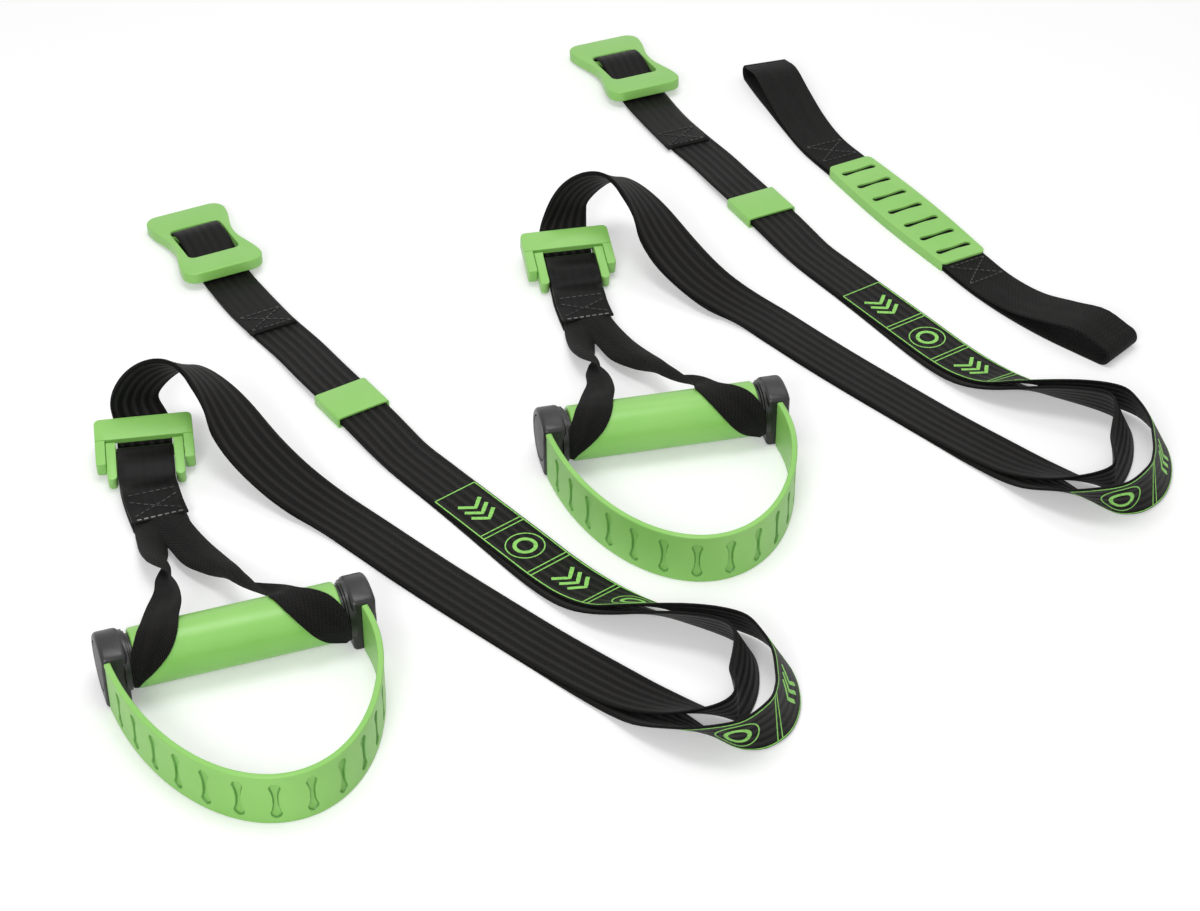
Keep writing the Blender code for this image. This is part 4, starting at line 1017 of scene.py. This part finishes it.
def outline_mesh(outlines, low, high):
    """A flat outline, with any holes, from height low to height high, as one welded mesh."""
    curve = bpy.data.curves.new("outline", "CURVE")
    curve.dimensions = "2D"
    curve.fill_mode = "BOTH"
    curve.extrude = (high - low) / 2
    for outline in outlines:
        spline = curve.splines.new("POLY")
        spline.points.add(len(outline) - 1)
        for point, (x, y) in zip(spline.points, outline):
            point.co = (x, y, 0.0, 1.0)
        spline.use_cyclic_u = True
    holder = linked("outline", curve)
    depsgraph = bpy.context.evaluated_depsgraph_get()
    mesh = cleaned(bpy.data.meshes.new_from_object(holder.evaluated_get(depsgraph)), WELD, True)
    bpy.data.objects.remove(holder)
    mesh.transform(Matrix.Translation((0, 0, (high + low) / 2)))
    return mesh


def flat_piece(name, outlines, heights, frame, look, edge, segments, sharp=30):
    """A piece cut from outlines between two heights, with rounded edges."""
    made = place_mesh(name, outline_mesh(outlines, *heights), frame, look)
    step = made.modifiers.new("round_edges", "BEVEL")
    step.width = edge
    step.segments = segments
    step.limit_method = "ANGLE"
    step.angle_limit = math.radians(40)
    step.harden_normals = False
    apply_modifiers(made, sharp)
    return made


def mirrored(points):
    """Points, and their mirror images in reverse order."""
    return [*points] + [(-x, y) for x, y in reversed(points)]


def rounded_corners(corners, radii, steps=6):
    """An outline through the corners, with each corner rounded by an arc of its radius."""
    outline = []
    count = len(corners)
    for index in range(count):
        here = Vector(corners[index])
        back = (Vector(corners[index - 1]) - here).normalized()
        ahead = (Vector(corners[(index + 1) % count]) - here).normalized()
        opening = back.angle(ahead)
        reach = radii[index] / math.tan(opening / 2)
        middle = here + (back + ahead).normalized() * (radii[index] / math.sin(opening / 2))
        first = here + back * reach - middle
        last = here + ahead * reach - middle
        sweep = first.angle_signed(last)
        for step in range(steps + 1):
            outline.append(tuple(middle + Matrix.Rotation(-sweep * step / steps, 2) @ first))
    return outline


def u_outline(half_width, inner, near, far, inside, radii):
    """A U open towards near, with its corners rounded in order round it."""
    outer = mirrored(((half_width, near), (half_width, far)))
    return rounded_corners(outer + mirrored(((-inner, near), (-inner, inside))), radii)


def waisted_outline(half_width, half_length, corner, width_at, corner_steps, steps):
    """A rounded oblong whose half width at a share of its length is given by a function."""
    reach = half_length - corner
    side = [(width_at(-1 + 2 * step / steps), reach * (-1 + 2 * step / steps)) for step in range(steps + 1)]
    far = [(half_width - corner + corner * math.cos(angle), reach + corner * math.sin(angle))
           for angle in angles(90 / corner_steps, 90, corner_steps - 1)]
    near = [(x, -y) for x, y in far]
    return mirrored(side + far) + [(-x, y) for x, y in near] + near[::-1]


def finish_piece(made, body, slot, *nodes):
    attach(made, body)
    if nodes:
        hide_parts(*nodes)


def make_plate(looks, trainer):
    frame = plate_frame(trainer) @ Matrix.Rotation(PLATE_TURN[trainer], 4, "Z")

    def width_at(share):
        return PLATE_HALF_WIDTH - PLATE_WAIST_DEPTH * (1 + math.cos(math.pi * share)) / 2

    outline = waisted_outline(PLATE_HALF_WIDTH, PLATE_HALF_LENGTH, PLATE_CORNER, width_at,
                              corner_steps=12, steps=20)
    side = ((OPENING_HALF_WIDTH, OPENING_NEAR), (OPENING_HALF_WIDTH, OPENING_FAR))
    opening = rounded_corners(mirrored(side), [OPENING_CORNER] * 4)
    plate = flat_piece("plate_" + trainer, (outline, opening), (-PLATE_THICK / 2, PLATE_THICK / 2), frame,
                       looks["green"], PLATE_EDGE, segments=6, sharp=45)
    finish_piece(plate, "anchor_" + trainer, "green_plastic", "anchor_plate_" + trainer)
    bar = disc_mesh(OPENING_HALF_WIDTH + OVERRUN / 4, CROSSBAR_RADIUS, CROSSBAR_RADIUS / 8)
    at_bar = frame @ Matrix.Translation((0, CROSSBAR_PLACE, 0))
    rod = place_mesh("plate_bar_" + trainer, bar, at_bar, looks["green"])
    finish_piece(rod, "anchor_" + trainer, "green_plastic")


def make_keeper(looks, trainer):
    frame = keeper_frame(trainer) @ Matrix.Rotation(math.pi / 2, 4, "X")
    half_width = STRAP_WIDTH / 2 + KEEPER_SIDE_GAP
    half_room = KEEPER_ROOM / 2
    outer_x, outer_y = half_width + KEEPER_WALL, half_room + KEEPER_WALL
    outer = rounded_corners(mirrored(((outer_x, -outer_y), (outer_x, outer_y))), [KEEPER_CORNER] * 4)
    inner = mirrored(((half_width, -half_room), (half_width, half_room)))
    inner = rounded_corners(inner, [GAP] * 4, steps=3)
    keeper = flat_piece("sleeve_" + trainer, (outer, inner), (-KEEPER_LENGTH / 2, KEEPER_LENGTH / 2), frame,
                        looks["green"], KEEPER_EDGE, segments=3)
    finish_piece(keeper, "keeper_body_" + trainer, "green_plastic", "keeper_" + trainer)


def make_buckle(looks, trainer):
    frame = buckle_frame(trainer)
    at_fold = frame @ Matrix.Translation((0, FOLD_PLACE, FOLD_HEIGHT))
    at_bar = frame @ Matrix.Translation((0, BAR_PLACE, BAR_HEIGHT))
    cheek_inner = BUCKLE_HALF_WIDTH - CHEEK_WIDTH
    far, near = BUCKLE_FAR_CORNER, BUCKLE_NEAR_CORNER
    outline = u_outline(BUCKLE_HALF_WIDTH, cheek_inner, CHEEK_START, BUCKLE_DEPTH, BRIDGE_START,
                        (near, far, far, near, near / 2, near / 3, near / 3, near / 2))
    shell = flat_piece("buckle_shell_" + trainer, (outline,), (0.0, BUCKLE_THICK), frame, looks["green"],
                       BUCKLE_EDGE, segments=4)
    cut(shell, box_mesh((-CHANNEL_HALF_WIDTH, BRIDGE_START - OVERRUN, -OVERRUN),
                        (CHANNEL_HALF_WIDTH, BUCKLE_DEPTH + OVERRUN, CHANNEL_HEIGHT)), frame)
    fold_half = CHANNEL_HALF_WIDTH + FOLD_SEAT_DEPTH + GAP
    cut(shell, disc_mesh(fold_half, FOLD_RADIUS + GAP, GAP / 2, BORE_SIDES), at_fold)
    bar_half = cheek_inner + BAR_SEAT_DEPTH + GAP
    cut(shell, disc_mesh(bar_half, BAR_RADIUS + GAP, GAP / 2, BORE_SIDES), at_bar)
    for side in (-1, 1):
        low, high = sorted((side * (cheek_inner - OVERRUN / 8), side * (BUCKLE_HALF_WIDTH + OVERRUN)))
        cut(shell, box_mesh((low, BRIDGE_START - BUCKLE_SEAM, BUCKLE_THICK - BUCKLE_SEAM_DEPTH),
                            (high, BRIDGE_START, BUCKLE_THICK + OVERRUN)), frame)
    finish_piece(shell, "strap_" + trainer, "green_plastic", "buckle_frame_" + trainer)
    arm_outer = cheek_inner - GAP
    tip, inner = LEVER_TIP, LEVER_CROSS / 2 - GAP
    outline = u_outline(arm_outer, LEVER_ARM_INNER, 0, LEVER_REACH, LEVER_REACH - LEVER_CROSS,
                        (tip, inner, inner, tip, tip, inner, inner, tip))
    lever = flat_piece("cam_lever_" + trainer, (outline,), (LEVER_FLOOR, LEVER_FLOOR + LEVER_THICK), frame,
                       looks["green"], LEVER_EDGE, segments=3)
    cut(lever, box_mesh((-LEVER_ARM_INNER, BAR_PLACE, LEVER_FLOOR + LEVER_CROSS_HEIGHT),
                        (LEVER_ARM_INNER, BRIDGE_START, BUCKLE_THICK + OVERRUN)), frame)
    cut(lever, disc_mesh(arm_outer + OVERRUN / 2, BAR_RADIUS + GAP, GAP / 2, BORE_SIDES), at_bar)
    finish_piece(lever, "lever_" + trainer, "green_plastic", "buckle_lever_" + trainer)


def cap_outline():
    top = CRADLE_HEIGHT - CAP_RADIUS
    back = [(CAP_RADIUS * math.cos(angle), (CAP_TOP if angle > 0 else CAP_RADIUS) * math.sin(angle))
            for angle in angles(-90, 90, 30)]
    over = [(-CAP_FRONT * math.sin(angle), top + (CAP_TOP - top) * math.cos(angle))
            for angle in angles(15, 75, 4)]
    return back + over + [(-CAP_FRONT, top), (-CAP_FRONT, -CAP_RADIUS)]


def make_caps(looks, trainer):
    frame = handle_frame(trainer)
    inner_face = HANDLE_LENGTH / 2 - CAP_LENGTH
    side_view = Matrix(((0, 0, 1, 0), (1, 0, 0, 0), (0, 1, 0, 0), (0, 0, 0, 1)))
    seat_length = NECK_LENGTH + CORE_SEAT_DEPTH + GAP + OVERRUN
    for side, sign in (("left", -1), ("right", 1)):
        heights = sorted((sign * inner_face, sign * HANDLE_LENGTH / 2))
        cap = flat_piece("end_cap_" + side + "_" + trainer, (cap_outline(),), heights, frame @ side_view,
                         looks["black"], CAP_EDGE, segments=5, sharp=50)
        steps = [(sign * along * mm, radius * mm) for along, radius in NECK_STEPS]
        rim = sign * (inner_face + OVERRUN / 2)
        neck = [(rim, 0.0), (rim, steps[0][1])] + steps + [(steps[-1][0], 0.0)]
        cut(cap, lathe_mesh(neck), frame, "UNION")
        middle = inner_face + CORE_SEAT_DEPTH + GAP - seat_length / 2
        cut(cap, disc_mesh(seat_length / 2, CORE_RADIUS + GAP, GAP / 2, 2 * BORE_SIDES),
            frame @ Matrix.Translation((sign * middle, 0, 0)))
        cut(cap, disc_mesh(DISC_THICK + GAP, DISC_RADIUS + DISC_GROOVE, GAP / 2),
            frame @ Matrix.Translation((sign * HANDLE_LENGTH / 2, 0, 0)))
        finish_piece(cap, "handle_" + trainer, "black_plastic", "cap_" + side + "_" + trainer)
        place = frame @ Matrix.Translation((sign * (HANDLE_LENGTH / 2 - DISC_THICK / 2), 0, 0))
        disc = disc_mesh(DISC_THICK / 2, DISC_RADIUS, DISC_GROOVE)
        disc = place_mesh("disc_" + side + "_" + trainer, disc, place, looks["grey"])
        finish_piece(disc, "handle_" + trainer, "grey_plastic", "cap_disc_" + side + "_" + trainer)


def make_grip(looks, trainer):
    half = HANDLE_LENGTH / 2 - CAP_LENGTH - NECK_LENGTH - GAP
    inner = GRIP_RADIUS - GRIP_WALL
    arc = [(half + GRIP_EDGE * (math.sin(angle) - 1), GRIP_RADIUS + GRIP_EDGE * (math.cos(angle) - 1))
           for angle in angles(0, 90, 6)]
    profile = arc + [(half, inner), (-half, inner)] + [(-along, radius) for along, radius in reversed(arc)]
    tube = lathe_mesh(profile, True)
    grip = place_mesh("grip_tube_" + trainer, tube, handle_frame(trainer), looks["green"])
    finish_piece(grip, "grip_body_" + trainer, "green_plastic", "grip_" + trainer)


def recess_depth(offset, rise):
    """How deep the dog-bone recess is at an offset along the band and a rise from its middle."""
    middle = RECESS_HALF_HEIGHT - RECESS_END_RADIUS
    if abs(rise) < middle:
        half = RECESS_WAIST + (RECESS_END_RADIUS - RECESS_WAIST) * (abs(rise) / middle) ** RECESS_FLARE
    else:
        left = RECESS_END_RADIUS ** 2 - (abs(rise) - middle) ** 2
        half = math.sqrt(left) if left > 0 else -RECESS_SIDE
    share = min(1.0, max(0.0, (half - abs(offset)) / RECESS_SIDE))
    return RECESS_DEPTH * share * share * (3 - 2 * share)


def cradle_line():
    """Even places round the band's outer face, how far along they are, and their outward directions."""
    half_width = HANDLE_LENGTH / 2 - CRADLE_INSET
    start = math.asin((CAP_FRONT + GAP) / CRADLE_DEPTH)
    samples = np.linspace(start, math.pi - start, CRADLE_SAMPLES)
    reach = CRADLE_DEPTH * np.sin(samples)
    pull = np.clip((CRADLE_PULL_START - reach) / (CRADLE_PULL_START - CAP_FRONT), 0, 1)
    sides = half_width * np.cos(samples)
    line = np.stack((sides - np.sign(sides) * CRADLE_PULL * pull ** 2 * (sides > 0), -reach), axis=1)
    run = run_along(line)
    columns = int(run[-1] / CRADLE_CELL)
    stations = np.linspace(0, run[-1], columns + 1)
    points = np.stack([np.interp(stations, run, line[:, axis]) for axis in (0, 1)], axis=1)
    tangents = unit(np.gradient(points, axis=0))
    normals = np.stack((-tangents[:, 1], tangents[:, 0]), axis=1)
    return stations, points, -normals if normals[columns // 2, 1] > 0 else normals


def cradle_ring():
    """The band's section as (out, rise) points, and how many of them lie on the recessed face."""
    low, high = -CAP_RADIUS, CRADLE_HEIGHT - CAP_RADIUS
    edge, inside = CRADLE_EDGE, -CRADLE_THICK
    outer = []
    height = low + edge
    while height < high - LIP_HEIGHT:
        outer.append((0.0, height))
        height += CRADLE_CELL
    lip = [(0.0, high - LIP_HEIGHT), (LIP_REACH * LIP_SHARE, high - LIP_HEIGHT + LIP_REACH),
           (LIP_REACH, high - LIP_HEIGHT + 2 * LIP_REACH), (LIP_REACH, high - edge)]
    arc = [(edge * math.cos(angle), edge * math.sin(angle)) for angle in angles(22.5, 67.5, 2)]
    top_out = [(LIP_REACH - edge + c, high - edge + s) for c, s in arc]
    top_in = [(inside + edge - s, high - edge + c) for c, s in arc]
    bottom_in = [(inside + edge - c, low + edge - s) for c, s in arc]
    bottom_out = [(-edge + s, low + edge - c) for c, s in arc]
    ring = (outer + lip + top_out + [(LIP_REACH - edge, high), (inside + edge, high)] + top_in
            + [(inside, high - edge), (inside, low + edge)] + bottom_in
            + [(inside + edge, low), (-edge, low)] + bottom_out)
    return ring, len(outer)


def make_cradle(looks, trainer):
    """The band as a fine grid: recesses outside, a lip along the upper edge, rounded rims."""
    stations, points, normals = cradle_line()
    ring, recessed = cradle_ring()
    first = stations[-1] / 2 + (RECESS_FIRST_SHARE - RECESS_COUNT / 2) * RECESS_PITCH
    centres = [first + index * RECESS_PITCH for index in range(RECESS_COUNT)]
    verts = []
    depths = []
    for station, point, normal in zip(stations, points, normals):
        near = min(centres, key=lambda middle: abs(middle - station))
        for index, (out, rise) in enumerate(ring):
            depth = recess_depth(station - near, rise - RECESS_RISE) if index < recessed else 0.0
            verts.append((*(point + normal * (out - depth)), rise))
            depths.append(depth / RECESS_DEPTH)
    mesh = cleaned(mesh_of("band", verts, grid_faces(len(stations), len(ring))))
    set_uvs(mesh, "recess", np.stack((depths, np.repeat(stations, len(ring))), axis=1))
    mesh.shade_smooth()
    mesh.set_sharp_from_angle(angle=math.radians(50))
    band = place_mesh("cradle_band_" + trainer, mesh, handle_frame(trainer), looks["cradle"])
    finish_piece(band, "handle_" + trainer, "green_plastic", "foot_cradle_" + trainer)


def make_print(looks, trainer, load):
    """Green line-work along the printed stretches: edge lines, cross lines and plain motifs."""
    edge = STRAP_WIDTH / 2 - PRINT_INSET
    batches = []

    def draw(points, width=PRINT_LINE, closed=False):
        batches.append(line_on(load, points, width, PRINT_THICK, 1, closed))

    for first, last, cells in PRINT_RUNS[trainer]:
        first, last = first * mm, last * mm
        pitch = (last - first) / cells
        for side in (-1, 1):
            draw(((side * edge, first), (side * edge, last)))
        for cell in range(cells + 1):
            along = first + cell * pitch
            draw(((-edge, along), (edge, along)))
            if 0 < cell < cells:
                draw(((-edge, along + PRINT_PAIR), (edge, along + PRINT_PAIR)))
        for cell in range(cells):
            middle = first + (cell + 0.5) * pitch + PRINT_INSET
            if cell % 2:
                draw(ring_points(0, middle, edge * INNER_RING_SHARE, sides=20), PRINT_BOLD, True)
                draw(ring_points(0, middle, edge * OUTER_RING_SHARE, sides=32), closed=True)
                continue
            reach = edge * CHEVRON_SHARE
            for shift in (-1, 0, 1):
                tip = middle + shift * CHEVRON_PITCH + PRINT_PAIR
                foot = tip - reach * CHEVRON_SLOPE
                draw(((-reach, foot), (0, tip), (reach, foot)), PRINT_BOLD)
    made = joined_object("print_" + trainer, batches, looks["ink"])
    finish_piece(made, "strap_" + trainer, "webbing_black")
    return made


def make_sewing(name, batches, look, body, slot):
    made = joined_object(name, batches, look)
    finish_piece(made, body, slot)
    return made


def make_main_strap(looks, trainer):
    strap, load = main_routes(trainer)
    body = "strap_" + trainer
    webbing = strap.mesh_object("webbing_" + trainer, STRAP_WIDTH, looks["webbing"])
    finish_piece(webbing, body, "webbing_black", "main_webbing_" + trainer)
    printed = make_print(looks, trainer, load)
    reach = STRAP_WIDTH / 2 - END_STITCH_INSET
    near, far = END_STITCHES
    batches = sewn_line(strap, reach, near, -1) + sewn_line(strap, reach, far, -1)
    batches += sewn_cross(strap, reach, near, far, -1)
    sewn = make_sewing("end_stitches_" + trainer, batches, looks["thread"], body, "webbing_black")
    strap.length()


def make_tab(looks, trainer):
    tab, upper = tab_strap(trainer)
    flap = tab.mesh_object("tab_" + trainer, TAB_WIDTH, looks["tab"])
    swing = "swing_" + trainer
    finish_piece(flap, swing, "webbing_black", "tab_webbing_" + trainer)
    side = 1 if tab.faces[upper + 4, 2] > 0 else -1
    end = tab.along[-1]
    reach = TAB_WIDTH / 2 - SEAM_INSET
    batches = sewn_line(tab, reach, end - TAB_LINE, side)
    batches += sewn_cross(tab, reach, end - TAB_CROSS[0], end - TAB_CROSS[1], side)
    cross = make_sewing("tab_stitches_" + trainer, batches, looks["thread"], swing, "webbing_black")
    batches = sewn_line(tab, reach, end - TAB_RIM, side)
    rim = make_sewing("tab_seam_" + trainer, batches, looks["edge_thread"], swing, "webbing_black")
    tab.length()


def make_legs(looks, trainer):
    for hand in ("left", "right"):
        leg, shares, bulges = leg_strap(trainer, hand)
        name = hand + "_" + trainer
        made = leg.mesh_object("leg_" + name, LEG_WIDTH, looks["leg"], shares, bulges)
        finish_piece(made, "swing_" + trainer, "handle_webbing_black", "leg_webbing_" + name)
        lengths = np.diff(leg.along)
        leg.length()


def slot_outline(index):
    pitch = (PAD_LENGTH - 2 * SLOT_END_MARGIN) / (SLOT_COUNT - 1)
    middle = (index - (SLOT_COUNT - 1) / 2) * pitch
    reach = SLOT_LENGTH / 2 - SLOT_END_RADIUS
    outline = []
    for sign in (1, -1):
        for angle in angles(-90, 90, 8):
            outline.append((sign * (reach + SLOT_END_RADIUS * math.cos(angle)),
                            middle + sign * SLOT_END_RADIUS * math.sin(angle)))
        for share in SLOT_SHARES:
            half = SLOT_WAIST_RADIUS + (SLOT_END_RADIUS - SLOT_WAIST_RADIUS) * share * share * SLOT_FLARE
            outline.append((sign * reach * share, middle + sign * half))
    return outline


def make_loop(looks):
    strap, upper = loop_straps()
    webbing = strap.mesh_object("loop_band", STRAP_WIDTH, looks["leg"])
    finish_piece(webbing, "loop_strap", "handle_webbing_black", "loop_webbing")
    up = 1 if upper.faces[len(upper.faces) // 2, 2] > 0 else -1
    reach = STRAP_WIDTH / 2 - SEAM_INSET
    total = upper.along[-1]
    batches = []
    for near, far in (LOOP_STITCHES, (total - LOOP_STITCHES[1], total - LOOP_STITCHES[0])):
        batches += sewn_line(upper, reach, near, up) + sewn_line(upper, reach, far, up)
        batches += sewn_cross(upper, reach, near, far, up)
    sewn = make_sewing("loop_stitches", batches, looks["thread"], "loop_strap", "handle_webbing_black")
    strap.length()


def make_pad(looks):
    frame = floor_frame((PAD_SITE[0] * mm, PAD_SITE[1] * mm, PAD_FLOOR), PAD_HEADING + math.pi / 2)
    bulge = (PAD_MIDDLE_WIDTH - PAD_END_WIDTH) / 2

    def width_at(share):
        return PAD_END_WIDTH / 2 + bulge * math.cos(math.pi / 2 * share)

    outline = waisted_outline(PAD_END_WIDTH / 2, PAD_LENGTH / 2, PAD_CORNER, width_at,
                              corner_steps=6, steps=16)
    slots = [slot_outline(index) for index in range(SLOT_COUNT)]
    pad = flat_piece("pad_band", (outline, *slots), (0.0, PAD_HEIGHT - PAD_FLOOR), frame, looks["pad"],
                     PAD_EDGE, segments=3, sharp=40)
    half_room = STRAP_WIDTH / 2 + GAP
    cut(pad, box_mesh((-half_room, -PAD_LENGTH, -OVERRUN),
                      (half_room, PAD_LENGTH, PAD_HEIGHT - PAD_WALL - PAD_FLOOR)), frame)
    finish_piece(pad, "pad", "green_plastic", "loop_pad")


# Camera, floor and light

def aim(made, place, target):
    """Puts a camera or lamp at a place, turned towards a target."""
    made.location = place
    made.rotation_euler = (Vector(target) - Vector(place)).to_track_quat("-Z", "Y").to_euler()


def make_camera():
    data = bpy.data.cameras.new("camera")
    data.lens = CAMERA_LENS
    data.sensor_width = CAMERA_SENSOR
    camera = linked("camera", data)
    aim(camera, CAMERA_PLACE, CAMERA_AIM)
    bpy.context.scene.camera = camera


def make_floor():
    corners = [(x * FLOOR_REACH, y * FLOOR_REACH, 0) for x, y in ((-1, -1), (1, -1), (1, 1), (-1, 1))]
    floor = linked("floor", mesh_of("floor", corners, [(0, 1, 2, 3)]))
    made = bpy.data.materials.new("floor_look")
    look = Nodes(made)
    look.tree.nodes.clear()
    pale = look.node("ShaderNodeBsdfDiffuse", {"Color": (*FLOOR_COLOR, 1.0)})
    glow = look.node("ShaderNodeEmission", {"Strength": look.times(look.seen(), FLOOR_GLOW)})
    both = look.node("ShaderNodeAddShader", {0: pale, 1: glow})
    look.fill(look.tree.nodes.new("ShaderNodeOutputMaterial"), {"Surface": both})
    floor.data.materials.append(made)


def make_world():
    world = bpy.data.worlds.new("world")
    bpy.context.scene.world = world
    sky = Nodes(world)
    strength = sky.spread(sky.seen(), WORLD_STRENGTH, 1.0)
    sky.fill(sky.tree.nodes["Background"], {"Color": (1.0, 1.0, 1.0, 1.0), "Strength": strength})


def make_light(name, place, size, power):
    data = bpy.data.lights.new(name, "AREA")
    data.shape = "RECTANGLE"
    data.size, data.size_y = size
    data.energy = power
    aim(linked(name, data), place, (0, 0, 0))


def main():
    for old in list(bpy.data.objects):
        bpy.data.objects.remove(old, do_unlink=True)
    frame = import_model()
    bpy.context.scene.view_settings.view_transform = "Standard"
    looks = make_looks()
    make_camera()
    for trainer in LAYOUTS:
        for make in (make_main_strap, make_plate, make_keeper, make_buckle, make_tab, make_legs, make_caps,
                     make_grip, make_cradle):
            make(looks, trainer)
        for name in ("buckle_bar_", "buckle_fold_bar_", "core_tube_"):
            frame["nodes"][name + trainer].material_slots[0].material = looks["steel"]
    make_loop(looks)
    make_pad(looks)
    make_floor()
    make_world()
    for light in LIGHTS:
        make_light(*light)


main()
